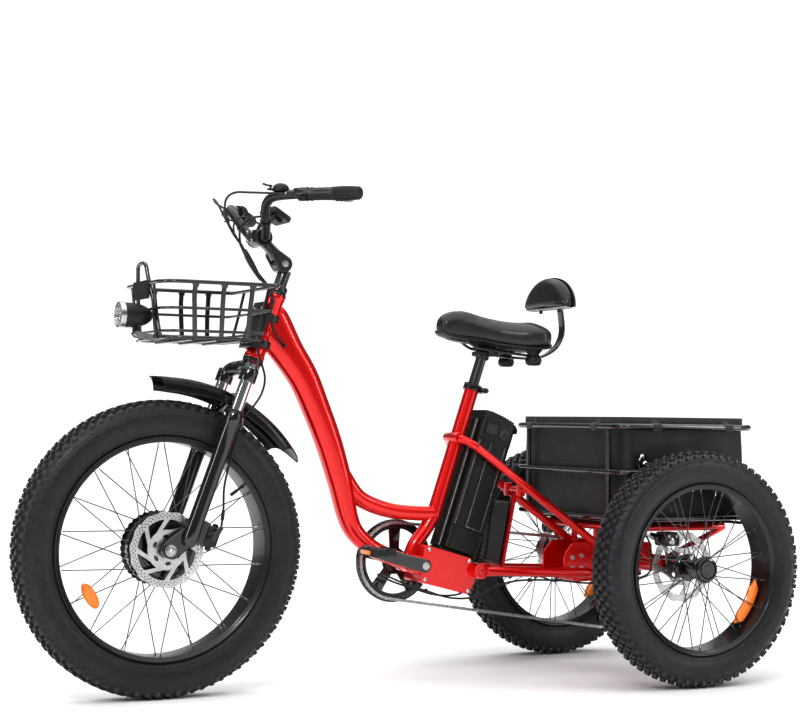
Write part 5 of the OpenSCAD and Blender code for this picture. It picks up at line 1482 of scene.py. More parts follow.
def drive():
    """Chain, chainring, cranks, pedals, drive sprocket and tensioner."""
    links = chain_line()
    s = Shape()
    for i, a in enumerate(links):
        b = links[(i + 1) % len(links)]
        d = (b - a).normalized()
        n = Vector((-d.y, d.x))
        outline = link_outline(a, 4.2, b, 4.2, 6)
        mid = (a + b) / 2
        cut = len(outline) // 2
        outline = outline[:cut] + [tuple(mid - n * 3)] + outline[cut:] + [tuple(mid + n * 3)]
        gap = 3.3 if i % 2 else 2.2
        for y in (-gap, gap):
            s.prism(outline, CHAIN_Y + y - 0.45, CHAIN_Y + y + 0.45, UPRIGHT)
        across(s, a.x, a.y, CHAIN_Y - 4.3, CHAIN_Y + 4.3, 1.8, 8, 0.3)
        across(s, a.x, a.y, CHAIN_Y - 1.9, CHAIN_Y + 1.9, 3.7, 10, 0.3)
    piece("roller_chain", s, CHAIN, "frame", "chain", angle=50)

    place = upright(BB)
    s = Shape()
    holes = []
    for i in range(5):
        a = 72 * i + 18
        holes.append(round_corners(arc(85, a + 11, a + 61, 10) + arc(34, a + 50, a + 22, 5), 9, 4))
    s.sheet([circle(98, 120)] + holes + [circle(12, 32)], -88.5, -84.5, place)
    s.lathe([(84, -90.5), (86, -91), (104, -91), (105.8, -90), (106, -88), (105.6, -86.4),
             (103, -85), (99, -84), (88, -83.6), (84.6, -84.4), (83.6, -87)], place, 120, loop=True)
    s.lathe([(10.2, -91), (24, -91), (26, -90), (27, -88), (27, -78.6), (24, -78), (10.2, -78)],
            place, 56, loop=True)
    for i in range(5):
        a = math.radians(72 * i + 54)
        boss = (76 * math.cos(a + 0.628), 76 * math.sin(a + 0.628))
        s.prism(circle(6, 20, boss), -86, -78, place)
    piece("chain_guard_spider", s, GLOSS, "crank", "chainring")
    t = Shape()
    t.sheet([toothed(48, 90.2, 95.6), circle(83, 80)], CHAIN_Y - 1, CHAIN_Y + 1, place)
    piece("ring_teeth", t, SATIN, "crank")

    tilt = math.atan2(43, 159)
    arm = Vector((math.cos(tilt), math.sin(tilt))) * 165
    middle_at = Vector((BB.x, BB.z))
    c, b = Shape(), Shape()
    for end, y0, y1 in ((middle_at + arm, 78, 92), (middle_at - arm, -108, -94)):
        out = 1 if y0 > 0 else -1
        face = link_outline(middle_at, 17, end, 12.5, 16)
        c.prism(face, y0, y1, UPRIGHT, 3.2)
        groove = link_outline(middle_at.lerp(end, 0.24), 6, middle_at.lerp(end, 0.8), 4.5, 8)
        rim_y = y1 if out > 0 else y0
        c.prism(groove, min(rim_y, rim_y + out * 0.7), max(rim_y, rim_y + out * 0.7), UPRIGHT, 0.3)
        b.lathe([(0, 0.4), (6.6, 0.4), (7.6, 1.8), (9.6, 1.8), (10, 0), (0, 0)],
                aim((BB.x, rim_y, BB.z), (0, out, 0)), 32)
        b.rod((end.x, rim_y - out * 3, end.y), (end.x, rim_y + out * 96, end.y), 5.9, 24)
        b.lathe([(0, 0), (9.5, 0), (9.5, 3), (0, 3)], aim((end.x, rim_y, end.y), (0, out, 0)), 6)
    across(c, BB.x, BB.z, -100, 88, 10)
    piece("crank_pair", c, GLOSS, "crank", "crank_arms")
    piece("crank_bolts", b, STEEL, "crank")
    for tag, at, side in (("left", (BB.x + arm.x, 96, BB.z + arm.y), 1),
                          ("right", (BB.x - arm.x, -112, BB.z - arm.y), -1)):
        pedal(tag, Matrix.Translation(at) @ Matrix.Diagonal((1, side, 1, 1)))

    axle = upright((REAR.x, 0, REAR.z))
    s = Shape()
    s.lathe([(10.1, -46), (29, -46), (31, -44), (31, -20), (28, -16), (28, 16), (31, 20), (31, 44),
             (29, 46), (15, 46), (15, 48), (10.1, 48)], axle, 56, loop=True)
    s.lathe([(10.1, -86), (14, -86), (15, -85), (15, -46), (10.1, -46)], axle, 40, loop=True)
    piece("differential_drum", s, GLOSS, "rear_sprocket", "cassette")
    t = Shape()
    lighten = [circle(5, 16, (23 * math.cos(TURN * i / 6), 23 * math.sin(TURN * i / 6)))
               for i in range(6)]
    t.sheet([toothed(20, 33.6, 39.6)] + lighten + [circle(14.8, 32)], CHAIN_Y - 1, CHAIN_Y + 1,
            axle)
    piece("drive_sprocket", t, STEEL, "rear_sprocket")

    s = Shape()
    for x, z in ((-680, 212), (-665, 124)):
        at = upright((x, 0, z))
        s.sheet([toothed(11, 15.4, 20), circle(4, 16)], CHAIN_Y - 1.6, CHAIN_Y + 1.6, at)
        s.lathe([(4, -85), (9, -85), (9, -75), (4, -75)], at, 32, loop=True)
    cage = link_outline((-665, 124), 13, (-680, 212), 14, 10)
    slot = link_outline((-668, 142), 4, (-677, 192), 4.5, 6)
    for y in (CHAIN_Y - 8, CHAIN_Y + 6):
        s.sheet([cage, slot], y, y + 2, UPRIGHT)
    s.prism(link_outline((-686, 214), 9, (-708, 262), 9), CHAIN_Y + 6.5, CHAIN_Y + 10.5, UPRIGHT, 1)
    across(s, -706, 262, CHAIN_Y + 8, -49, 6)
    piece("chain_tensioner", s, SATIN, "frame", "derailleur")
    b = Shape()
    for x, z in ((-680, 212), (-665, 124), (-706, 262)):
        b.bolt((x, CHAIN_Y - 8, z), (0, -1, 0), 4.6, 3)
        b.bolt((x, CHAIN_Y + 10, z), (0, 1, 0), 4.6, 3)
    piece("tensioner_bolts", b, STEEL, "frame")


def pedal(tag, place):
    """Platform pedal: an outer frame, cross webs, grip studs and two reflectors."""
    y0, length, half = 6, 92, 32
    frame_of = round_corners([(-half, y0 + 4), (-half + 6, y0), (half - 6, y0), (half, y0 + 4),
                              (half, y0 + length - 12), (half - 10, y0 + length),
                              (-half + 10, y0 + length), (-half, y0 + length - 12)], 4, 3)
    windows = []
    for side in (-1, 1):
        for a, b in ((y0 + 9, y0 + 41), (y0 + 51, y0 + 83)):
            windows.append(round_corners([(side * 12, a), (side * 25, a), (side * 25, b),
                                          (side * 12, b)], 3, 3))
    s = Shape()
    s.sheet([frame_of] + windows, -7.4, 7.4, place)
    s.lathe([(6.1, -2), (9, -2), (10, 0), (10, 97), (8, 99), (6.1, 99)], place @ UPRIGHT, 32,
            loop=True)
    for x in (-28.5, 28.5):
        for i in range(8):
            for z in (-8.1, 8.1):
                s.block((4, 5, 1.8), (x, y0 + 10 + 11 * i, z), place, 0.7)
    piece(f"{tag}_pedal_body", s, PLASTIC, f"pedal_{tag}", f"{tag}_pedal")
    r = Shape()
    for x in (-32.2, 32.2):
        r.block((2.4, 54, 10), (x, y0 + 46, 0), place, 0.9)
    piece(f"{tag}_pedal_reflectors", r, AMBER, f"pedal_{tag}")


# ---------- seat ----------


def soften(obj, cap_mm, voxel_mm=5.0, pressure=4.0):
    """Blows a closed pad up with a cloth simulation, then caps how far each point has moved."""
    scene = bpy.context.scene
    bpy.context.view_layer.objects.active = obj
    obj.select_set(True)
    mod = obj.modifiers.new("even", "REMESH")
    mod.mode, mod.voxel_size, mod.use_smooth_shade = "VOXEL", voxel_mm * MM, True
    bpy.ops.object.modifier_apply(modifier=mod.name)
    rest = [v.co.copy() for v in obj.data.vertices]
    cloth = obj.modifiers.new("cloth", "CLOTH")
    cloth.settings.use_pressure = True
    cloth.settings.uniform_pressure_force = pressure
    cloth.settings.effector_weights.gravity = 0
    cloth.settings.tension_stiffness = cloth.settings.compression_stiffness = 25
    cloth.settings.bending_stiffness = 3
    for f in range(1, 21):
        scene.frame_set(f)
    bpy.ops.object.modifier_apply(modifier=cloth.name)
    scene.frame_set(1)
    for v, r in zip(obj.data.vertices, rest):
        move = v.co - r
        if move.length > cap_mm * MM:
            v.co = r + move.normalized() * cap_mm * MM
    smooth = obj.modifiers.new("ease", "SMOOTH")
    smooth.factor, smooth.iterations = 0.5, 6
    bpy.ops.object.modifier_apply(modifier=smooth.name)
    sub = obj.modifiers.new("fine", "SUBSURF")
    sub.levels = sub.render_levels = 1
    bpy.ops.object.modifier_apply(modifier=sub.name)
    obj.data.shade_smooth()
    return obj


SADDLE = [
    # x, half width, top, bottom, how far the shoulders drop below the top
    (-112, 8, 906, 886, 4), (-117, 21, 918, 876, 8), (-130, 28, 928, 868, 12),
    (-155, 33, 934, 862, 16), (-190, 38, 931, 858, 19), (-225, 46, 922, 854, 19),
    (-260, 62, 914, 846, 16), (-295, 84, 908, 841, 12), (-330, 104, 906, 838, 9),
    (-362, 111, 908, 837, 9), (-388, 104, 905, 840, 9), (-400, 84, 897, 848, 9),
    (-403, 50, 886, 858, 6)]


def saddle():
    """Saddle cushion, base, rails, springs and clamp."""
    rows = curve(SADDLE, 4)
    rings = []
    for x, half, top, low, drop in rows:
        ring = []
        for k in range(40):
            a = TURN * k / 40
            c, q = math.cos(a), math.sin(a)
            y = half * math.copysign(abs(c) ** 0.72, c)
            share = abs(y) / half
            if q >= 0:
                dip = 3.0 * math.exp(-(y / 9) ** 2) * min(1, half / 60)
                z = (top + low) / 2 + (top - drop * share ** 2 - (top + low) / 2) * q ** 0.55 - dip
            else:
                z = (top + low) / 2 - ((top + low) / 2 - low) * abs(q) ** 0.4
            ring.append((x, y, z))
        rings.append(ring)
    s = Shape()
    s.rings(rings)
    pad = piece("saddle_cushion", s, VINYL, None, angle=180)
    soften(pad, 5)
    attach(pad, "seat")
    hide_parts("saddle_pad")

    p = Shape()
    base = []
    for x, half, top, low, drop in curve(SADDLE[1:-1], 3):
        base.append((x, half * 0.93, low + 5))
    edge = base + [(x, -y, z) for x, y, z in reversed(base)]
    p.tube(edge, [(3.0, 3.0)] * len(edge), 10, True)
    under = [[(x, y * k, z - 6 + 3 * abs(k)) for k in (-1, -0.6, 0, 0.6, 1)]
             + [(x, y * k, z + 3) for k in (1, 0, -1)] for x, y, z in base]
    p.rings(under)
    top = SEAT @ Vector((0, 0, 112))
    for side in (-1, 1):
        p.lathe([(0, 0), (13, 0.6), (18, 3), (20.6, 8), (21.2, 14), (19.6, 20), (16, 25),
                 (14.6, 28), (15.4, 31), (20, 36), (23.4, 40), (24, 45), (24, 52), (0, 52)],
                Matrix.Translation((-354, side * 70, 798)), 48)
    p.block((72, 100, 12), (-295, 0, top.z + 4), None, 4)
    p.block((60, 40, 14), (-300, 0, top.z - 5), None, 5)
    piece("saddle_base", p, PLASTIC, "seat")
    r = Shape()
    for side in (-1, 1):
        rail = curve([(-152, side * 12, 868), (-180, side * 16, 862), (-208, side * 20, top.z + 5),
                      (-230, side * 24, top.z - 2), (-300, side * 46, top.z - 12),
                      (-352, side * 64, top.z - 18)], 6)
        r.tube(rail, 3.5, 16)
    piece("saddle_rails", r, ALLOY_DARK, "seat")
    c = Shape()
    c.block((58, 46, 12), (top.x - 3, 0, top.z - 14), None, 4)
    c.block((54, 52, 9), (top.x - 3, 0, top.z - 1), None, 4)
    c.lathe([(0, 84), (17, 84), (18.5, 87), (18.5, 104), (15, 110), (0, 110)], SEAT, 40)
    across(c, top.x - 3, top.z - 9, -30, 30, 6)
    piece("saddle_clamp", c, SATIN, "seat", "saddle_frame")
    n = Shape()
    for side in (-1, 1):
        n.nut((top.x - 3, side * 30, top.z - 9), (0, side, 0), 6.5, 6)
    piece("saddle_clamp_nuts", n, ALLOY_DARK, "seat")


def backrest():
    """Backrest cushion and shell on a bent flat bar."""
    path = curve([(-270, 0, 824), (-330, 0, 820), (-380, 0, 819), (-424, 0, 827), (-462, 0, 850),
                  (-481, 0, 885), (-480, 0, 925), (-472, 0, 970), (-466, 0, 1005)], 7)
    s = Shape()
    s.tube(path, [(3.4, 13)] * len(path), 24, side=(0, 1, 0), power=4)
    piece("backrest_bar", s, GLOSS, "seat", "backrest_arm")
    lean = Matrix.Translation((-440, 0, 952)) @ Matrix.Rotation(-math.radians(6), 4, "Y")

    def outline(k, low=0.0):
        shape = [(114 * k * math.cos(math.radians(a)), max(low, 83 * k * math.sin(math.radians(a))))
                 for a in range(0, 181, 6)]
        return shape + [(-114 * k * t, low) for t in (0.8, 0.5, 0.2, -0.2, -0.5, -0.8)]

    layers = [(19, 0.62, 8), (16, 0.82, 4), (8, 0.94, 1), (-2, 0.98, 0), (-9, 0.96, 1)]
    c = Shape()
    c.rings([[lean @ Vector((x + 5 - (y / 52) ** 2, y, z)) for y, z in outline(k, low)]
             for x, k, low in layers])
    pad = piece("backrest_cushion", c, VINYL, None, angle=180)
    soften(pad, 5)
    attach(pad, "seat")
    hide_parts("backrest_pad")
    b = Shape()
    shell = [(-8, 0.99, 0), (-13, 0.985, 0), (-17, 0.95, 1), (-20.5, 0.86, 4), (-22, 0.7, 9)]
    b.rings([[lean @ Vector((x + 5 - (y / 52) ** 2, y, z)) for y, z in outline(k, low)]
             for x, k, low in shell])
    for y in (-46, 46):
        b.rod(lean @ Vector((-6, y, -11)), lean @ Vector((-6, y, 4)), 4.4)
    piece("backrest_shell", b, PLASTIC, "seat")
    p = Shape()
    p.block((24, 196, 3), (-2, 0, -1.2), lean, 1)
    piece("backrest_plate", p, BOARD, "seat")


def seat_post():
    """Seat pillar, its collar and the quick release lever."""
    s = Shape()
    s.lathe([(11, -200), (13.6, -200), (13.6, 100), (0, 100)], SEAT, 48)
    for i in range(12):
        s.lathe([(13.5, 6 + 6 * i), (13.72, 6.3 + 6 * i), (13.5, 6.6 + 6 * i)], SEAT, 48)
    piece("seat_pillar", s, ALLOY_DARK, "seat", "seatpost")
    c = Shape()
    c.lathe([(18.1, -3), (22.6, -3), (23, -2), (23, 12), (22.4, 13.6), (14.2, 14), (14.2, 0.4),
             (18.1, 0.2)], SEAT, 56, loop=True)
    for y in (-6.5, 6.5):
        c.block((16, 9, 12), (-26, y, 6), SEAT, 2.5)
    piece("seat_collar", c, SATIN, "frame", "seat_clamp")
    v = Shape()
    turn = SEAT.to_3x3()
    v.rod(SEAT @ Vector((-27, -17, 6)), SEAT @ Vector((-27, 24, 6)), 3, 20)
    v.lathe([(0, 0), (5.6, 0), (7, 2), (7, 15), (6, 18), (0, 19)],
            aim(SEAT @ Vector((-27, 12, 6)), (0, 1, 0)), 32)
    v.nut(SEAT @ Vector((-27, -14, 6)), turn @ Vector((0, -1, 0)), 6, 6)
    path = curve([(-27, 28, 6), (-10, 29.5, 6.5), (8, 30.5, 7.5), (24, 29.5, 7), (34, 27, 6)], 5)
    v.tube([SEAT @ Vector(p) for p in path], [(2.8, 6 - 1.2 * (i / 20)) for i in range(len(path))],
           20, side=(0, 1, 0), power=3)
    piece("quick_release", v, SATIN, "clamp_lever", "seat_clamp_lever")


# ---------- handlebar ----------

GRIP_DIR = Vector((-88, 135, -6)).normalized()
GRIP_START = Vector((350, 208, 1175.4))
LEVER_OUT = Vector((GRIP_DIR.y, -GRIP_DIR.x, 0)).normalized()
LEVER_AT = GRIP_START + GRIP_DIR * 2 + LEVER_OUT * 34
BAR_CLAMP = Vector((377, 0, 1090))
BAR = [(377, 0, 1090), (377, 24, 1090), (379, 44, 1094), (388, 68, 1114), (400, 92, 1142),
       (405, 118, 1163), (396, 145, 1174), (362, 196, 1176), tuple(GRIP_START),
       tuple(GRIP_START + GRIP_DIR * 76), tuple(GRIP_START + GRIP_DIR * 152)]
BELL_AT = Vector((388, 158, 1186))


def flip(v, side):
    """The point on the left, or its mirror image when side is -1."""
    return Vector((v[0], side * v[1], v[2]))


def handlebar():
    """Swept bar with grips, lever perches, bell, brake levers and throttle paddle."""
    s = Shape()
    half = curve(BAR, 8)
    path = [(x, -y, z) for x, y, z in reversed(half[1:])] + half
    radii = [15.9 if abs(p[1]) < 26 else 11.1 + 4.8 * max(0, 1 - (abs(p[1]) - 26) / 22)
             for p in path]
    s.tube(path, radii, 28, side=(1, 0, 0))
    piece("swept_bar", s, SATIN, "bars", "handlebar")

    g = Shape()
    for side in (-1, 1):
        n = 74
        pts, radii = [], []
        for i in range(n + 1):
            t = i / n
            d = 20 + 137 * t
            rib = 0.45 * math.cos(i * math.pi / 1.5) if 0.06 < t < 0.4 else 0
            swell = 14.4 + 0.6 * t
            cap = math.sqrt(max(0.02, 1 - max(0, (t - 0.93) / 0.07) ** 2.4))
            wing = 1 + 0.14 * math.sin(math.pi * max(0, (t - 0.3) / 0.7)) ** 1.3
            lip = 1.5 if t < 0.035 else 0
            pts.append(flip(GRIP_START + GRIP_DIR * d, side))
            radii.append(((swell + rib + lip) * cap * 0.98, (swell + rib + lip) * cap * wing))
        g.tube(pts, radii, 36, side=(0, 0, 1))
        for i in range(4):
            at = flip(GRIP_START + GRIP_DIR * (92 + 11 * i), side)
            for k in range(5):
                p = aim(at, flip(GRIP_DIR, side)) @ Matrix.Rotation(0.5 * k - 1, 4, "Z")
                g.block((2.2, 1.6, 8), (0, -17.2 - 0.6 * i, 0), p, 0.5)
    piece("ergonomic_grips", g, GRIP, "bars", "grips")

    m, b = Shape(), Shape()
    for side in (-1, 1):
        place = aim(flip(GRIP_START, side), flip(GRIP_DIR, side))
        m.lathe([(11.2, -12), (15, -12), (16, -11), (16, 11), (15, 12), (11.2, 12)], place, 40,
                loop=True)
        body = curve([tuple(flip(GRIP_START + LEVER_OUT * 12, side)) + (8, 8),
                      tuple(flip(GRIP_START + LEVER_OUT * 22 - GRIP_DIR * 2, side)) + (7, 9),
                      tuple(flip(LEVER_AT - LEVER_OUT * 7, side)) + (8.6, 10)], 5)
        m.tube(body, [p[3:] for p in body], 20, side=(0, 0, 1), power=3)
        for z in (-9, 5):
            m.lathe([(2.6, z), (7, z), (8, z + 1), (8, z + 3), (7, z + 4), (2.6, z + 4)],
                    Matrix.Translation(flip(LEVER_AT, side)), 32, loop=True)
        m.rod(flip(LEVER_AT - GRIP_DIR * 8 - LEVER_OUT * 10, side),
              flip(LEVER_AT - GRIP_DIR * 34 - LEVER_OUT * 10, side), 4.4, 20)
        b.rod(flip(LEVER_AT - GRIP_DIR * 30 - LEVER_OUT * 10, side),
              flip(LEVER_AT - GRIP_DIR * 38 - LEVER_OUT * 10, side), 3.4, 16)
        b.bolt(flip(LEVER_AT + Vector((0, 0, 9)), side), (0, 0, 1), 3.6, 2)
        b.bolt(flip(GRIP_START, side) + Vector((-4, 0, 15)), (0, 0, 1), 3.6, 3)
    bell = Matrix.Translation(BELL_AT)
    m.lathe([(0, -9), (6, -9), (6, -1), (19.4, -1), (20, 0.6), (19.8, 5), (17.6, 10.4), (14, 14.4),
             (8, 17.2), (3.4, 18), (0, 18.1)], bell, 48)
    m.block((33, 12, 4), tuple(BELL_AT + Vector((16.5, 0, 2))), None, 1.5)
    piece("lever_perches_and_bell", m, PLASTIC, "bars", "lever_mounts")
    piece("perch_bolts", b, STEEL, "bars")
    k = Shape()
    k.rod(BELL_AT + Vector((26, 0, 0)), BELL_AT + Vector((26, 0, 13)), 2.5)
    path = curve([tuple(BELL_AT + Vector((22, 0, 10.5))), tuple(BELL_AT + Vector((34, 0, 11))),
                  tuple(BELL_AT + Vector((45, 0, 14)))], 5)
    k.tube(path, [(2.0, 3.4)] * len(path), 16, side=(0, 1, 0), power=3)
    piece("bell_thumb_lever", k, PLASTIC, "bell_lever", "bell_striker")

    for tag, side in (("left", 1), ("right", -1)):
        s = Shape()
        pts = [LEVER_AT + GRIP_DIR * a + LEVER_OUT * b for a, b in
               ((-4, 0), (10, 9), (26, 14.5), (55, 15), (82, 17), (104, 20))]
        path = curve([tuple(flip(p, side)) for p in pts], 7)
        radii = [(3.6, 6.4 - 2.0 * i / len(path)) for i in range(len(path))]
        s.tube(path, radii, 20, side=(0, 0, 1), power=2.6)
        s.ball(6.6, flip(pts[-1], side))
        s.lathe([(0, -4), (6, -4), (7, -3), (7, 3), (6, 4), (0, 4)],
                Matrix.Translation(flip(LEVER_AT, side)), 32)
        pin = Vector((0, 0, 10))
        s.rod(flip(LEVER_AT, side) - pin, flip(LEVER_AT, side) + pin, 2.5)
        piece(f"{tag}_lever_blade", s, ALLOY_DARK, f"brake_{tag}", f"{tag}_brake_lever")

    t = Shape()
    along = flip(GRIP_DIR, -1)
    at = flip(GRIP_START + GRIP_DIR * 15, -1)
    t.lathe([(11.5, -1.5), (19, -1.5), (20, -0.6), (20, 2.6), (19, 3.5), (11.5, 3.5)],
            aim(at, along), 40, loop=True)
    path = curve([tuple(at + along + Vector((0, 0, -14))), tuple(at + along + Vector((-5, 2, -20))),
                  tuple(at + along + Vector((-14, 8, -28)))], 5)
    t.tube(path, [(3, 5)] * len(path), 16, power=3)
    piece("thumb_paddle", t, PLASTIC, "thumb_throttle", "throttle")


def stem_and_display():
    """Stem post, stem body with its clamp, and the display."""
    base = HEAD_HIGH + 7.6
    s = Shape()
    s.lathe([(14.3, base), (20.6, base), (22, base + 1.6), (22, base + 13), (20, base + 16),
             (16.4, base + 17.5), (15.8, base + 20), (16, base + 57), (0, base + 57)], None, 56)
    s.lathe([(6.1, -15), (18.6, -15), (20, -13.6), (20, 13.6), (18.6, 15), (6.1, 15)],
            upright((14, 0, 742)), 48, loop=True)
    s.block((30, 30, 20), (10, 0, base + 58), None, 4)
    steer_piece("stem_post", s, ALLOY_DARK, "steering", "stem_riser")

    pivot = STEER @ Vector((14, 0, 742))
    p2, c2 = Vector((pivot.x, pivot.z)), Vector((BAR_CLAMP.x, BAR_CLAMP.z))
    a = Shape()
    for y0, y1 in ((16.5, 24), (-24, -16.5)):
        a.prism(link_outline(p2, 19.5, p2.lerp(c2, 0.36), 12.5, 20), y0, y1, UPRIGHT, 2.4)
    mid = [(*p2.lerp(c2, t), d, w) for t, d, w in
           ((0.22, 13.5, 22), (0.32, 13.8, 23), (0.48, 12.4, 20), (0.68, 11.4, 17), (0.86, 14, 18),
            (0.97, 17, 21))]
    path = curve([(x - 5 * math.sin(math.pi * i / 5), 0, z, d, w)
                  for i, (x, z, d, w) in enumerate(mid)], 6)
    a.tube(path, [q[3:] for q in path], 32, side=(0, 1, 0), power=3)
    a.lathe([(16, -24), (20, -24), (21, -23), (21, 23), (20, 24), (16, 24)],
            upright(BAR_CLAMP), 48, loop=True)
    a.block((10, 44, 30), tuple(BAR_CLAMP + Vector((20, 0, 3))), None, 4)
    piece("stem_body", a, ALLOY_DARK, "bars", "stem_arm")
    b = Shape()
    for y, sign in ((24, 1), (-24, -1)):
        b.lathe([(0, -1), (8, -1), (8.4, 0.6), (7.6, 1.8), (3, 2.2), (2.8, 1), (0, 0.8)],
                aim((pivot.x, y, pivot.z), (0, sign, 0)), 40)
    for y in (-14, 14):
        for z in (-8, 14):
            b.bolt(BAR_CLAMP + Vector((25, y, z)), (1, 0, 0), 4, 3)
    piece("stem_bolts", b, ALLOY, "bars")

    place = Matrix.Translation((336, 0, 1147)) @ Matrix.Rotation(-math.radians(32), 4, "Y")
    d = Shape()
    face = round_corners([(28, 46), (-28, 46), (-28, -46), (28, -46)], 12, 6)
    d.prism(face, -7, 5, place, 2)
    d.prism(inset(face, 2), 4.5, 6.6, place, 0.8)
    d.block((34, 40, 8), (0, 0, -10), place, 4)
    for side in (-1, 1):
        d.lathe([(16, 26.5), (20, 26.5), (21, 27.5), (21, 33), (20, 34), (16, 34)],
                upright(BAR_CLAMP) @ Matrix.Diagonal((1, 1, side, 1)), 40,
                loop=True)
        d.tube(curve([(372, side * 31, 1106), (364, side * 31, 1124), (350, side * 31, 1146)], 5),
               [(4, 5)] * 11, 16, side=(0, 1, 0), power=3)
    for y in (-16, 0, 16):
        d.block((5, 9, 2), (-21, y, 6.4), place, 1)
    piece("display_case", d, PLASTIC, "bars", "display")
    g = Shape()
    g.prism(round_corners([(24, 40), (-15, 40), (-15, -40), (24, -40)], 6, 5), 6.2, 7.2, place, 0.3)
    piece("display_screen", g, GLASS, "bars")


# ---------- cables ----------


def ties(shape, spots, r=6.0):
    """Cable ties: a thin band and its square head, at points with a direction."""
    for at, along in spots:
        place = aim(Vector(at), Vector(along))
        shape.lathe([(r - 0.8, -2), (r + 0.6, -2), (r + 0.6, 2), (r - 0.8, 2)], place, 24,
                    loop=True)
        shape.block((4.4, 5, 5), (r + 2, 0, 0), place, 0.8)


def cables():
    """Cable loops at the bars, three blended cables and the runs under the frame."""
    w = Shape()
    for side in (1, -1):
        start = LEVER_AT - GRIP_DIR * 38 - LEVER_OUT * 10
        loop = [tuple(flip(start, side)), tuple(flip(start - GRIP_DIR * 20, side)),
                (446, side * 118, 1183), (470, side * 70, 1186), (478, side * 30 + 6, 1172),
                (474, side * 8 + 18, 1140), (456, 24, 1098), (436, 28, 1070)]
        w.tube(curve(loop, 8), 2.6, 12)
    for y in (-58, 52):
        w.tube(curve([(398, y, 1118), (430, y * 0.8, 1134), (452, y * 0.4 + 10, 1124),
                      (452, 26, 1096), (436, 28, 1070)], 8), 2.2, 12)
    w.tube(curve([(352, 20, 1132), (384, 22, 1140), (420, 24, 1128), (438, 27, 1100),
                  (436, 28, 1070)], 8), 2.6, 12)
    ties(w, [((468, 20, 1124), (0.3, 0, 1)), ((405, 118, 1163), (-0.2, 1, 0.8))], 6.5)
    for y in (-76, 76):
        ties(w, [((392, y, 1122), (0.4, y / 76, 1))], 13)
    piece("bar_loops", w, JACKET, "bars")

    m = Shape()
    bundle = [(436, 28, 1070), (417, 30, 1036), (394, 32, 1003), (364, 38, 965), (361, 50, 935)]
    m.tube(curve(bundle, 8), 4, 16)
    brake = [(436, 24, 1070), (412, 20, 1030), (388, 14, 1000), (364, 28, 968), (361, 56, 935)]
    m.tube(curve(brake, 8), 2.5, 12)
    leaf = curve([(426, 29, 1058, 3.4, 4), (421, 29, 1046, 6, 9), (411, 30, 1028, 6.4, 12),
                  (400, 31, 1010, 5.6, 10), (390, 32, 994, 4, 6), (384, 33, 986, 3.4, 4)], 8)
    ribbed = [(p[3] + 0.35 * (i % 2), p[4] + 0.35 * (i % 2)) for i, p in enumerate(leaf)]
    m.tube(leaf, ribbed, 24, side=(0, 1, 0))
    obj = piece("stem_cables", m, JACKET, None)
    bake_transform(obj)
    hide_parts("bar_cables")

    low = Shape()
    low.tube(curve([(361, 50, 935), (366, 52, 905), (356, 46, 868), (338, 38, 846), (318, 28, 832)],
                   8), 2.8, 16)
    low.lathe([(2.8, 0), (5.4, 0), (6, 1.2), (5, 2.6), (3, 4)],
              aim((319, 26, 830), (0.6, 0.7, 0.5)), 24, loop=True)
    obj = piece("head_cables", low, JACKET, None)
    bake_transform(obj)

    line = Shape()
    line.tube(curve([(361, 56, 935), (378, 64, 885), (396, 64, 848), (403, 65, 820), (396, 66, 794),
                     (384, 66, 752), (390, 64, 716), (409, 64, 686), (438, 62, 650), (458, 66, 600),
                     (469, 70, 560), (486, 76, 494), (490, 83, 436), (495, 83, 399)], 8), 2.5, 12)
    line.rod((489.6, 82.8, 440), (492.6, 83, 416), 4, 16)
    obj = piece("front_brake_cable", line, JACKET, None)
    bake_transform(obj)

    f = Shape()
    f.tube(curve([(34, 30, 268), (-16, 38, 246), (-67, 40, 230), (-136, 40, 210), (-205, 42, 210),
                  (-262, 50, 236), (-330, 56, 249), (-440, 60, 246), (-520, 74, 238),
                  (-585, 112, 244), (-640, 165, 262), (-630, 205, 300), (-606, 230, 350),
                  (-584, 242, 372)], 8), 2.5, 12)
    f.tube(curve([(34, -30, 268), (-16, -36, 246), (-67, -38, 230), (-136, -38, 210),
                  (-205, -40, 210), (-262, -46, 236), (-330, -44, 250), (-440, -44, 248),
                  (-500, -60, 232), (-560, -104, 236), (-640, -165, 262), (-630, -205, 300),
                  (-606, -230, 350), (-584, -242, 372)], 8), 2.5, 12)
    for side in (-1, 1):
        ties(f, [((-67, side * 39, 230), (1, 0, 0.3)), ((-360, side * 50, 248.6), (1, 0, 0)),
                 ((-440, side * 52, 247), (1, 0, 0))], 5)
        f.block((12, 10, 7), (-271, side * 50, 240), None, 2)
    piece("frame_cable_runs", f, JACKET, "frame", "frame_cables")


FENDER_PLASTIC = moulded("fender_plastic", (0.005, 0.0052, 0.0055), 0.22, 2400)
BOARD = moulded("base_board", (0.4, 0.4, 0.4), 0.6)
AMBER_WARM = bright_metal("lamp_emitter", (0.9, 0.86, 0.6), 0.3)
fork()
fender()
FRONT_CALIPER = (STEER @ Matrix.Translation((LEG_U - 49, 52, 62))
                 @ Matrix(((0, -1, 0, 0), (0, 0, -1, 0), (1, 0, 0, 0), (0, 0, 0, 1))))
caliper("front_brake", "front_caliper", FRONT_CALIPER, "fork_sprung", "front_caliper_lever",
        "caliper_arm")
main_frame()
rear_triangle()
carrier()
electrics()
battery()
front_basket()
headlight()
liner = cargo()
liner_parts = liner_trim()
drive()
saddle()
backrest()
seat_post()
handlebar()
stem_and_display()
cables()
for tag, side in (("left", 1), ("right", -1)):
    at = Matrix.Translation((-628, side * ROTOR_Y, 362)) @ Matrix(
        ((1, 0, 0, 0), (0, 0, side, 0), (0, 1, 0, 0), (0, 0, 0, 1)))
    caliper(f"rear_{tag}_brake", "rear_calipers" if side > 0 else (), at, "frame",
            "rear_caliper_levers", "rear_caliper_arms" if side > 0 else ())


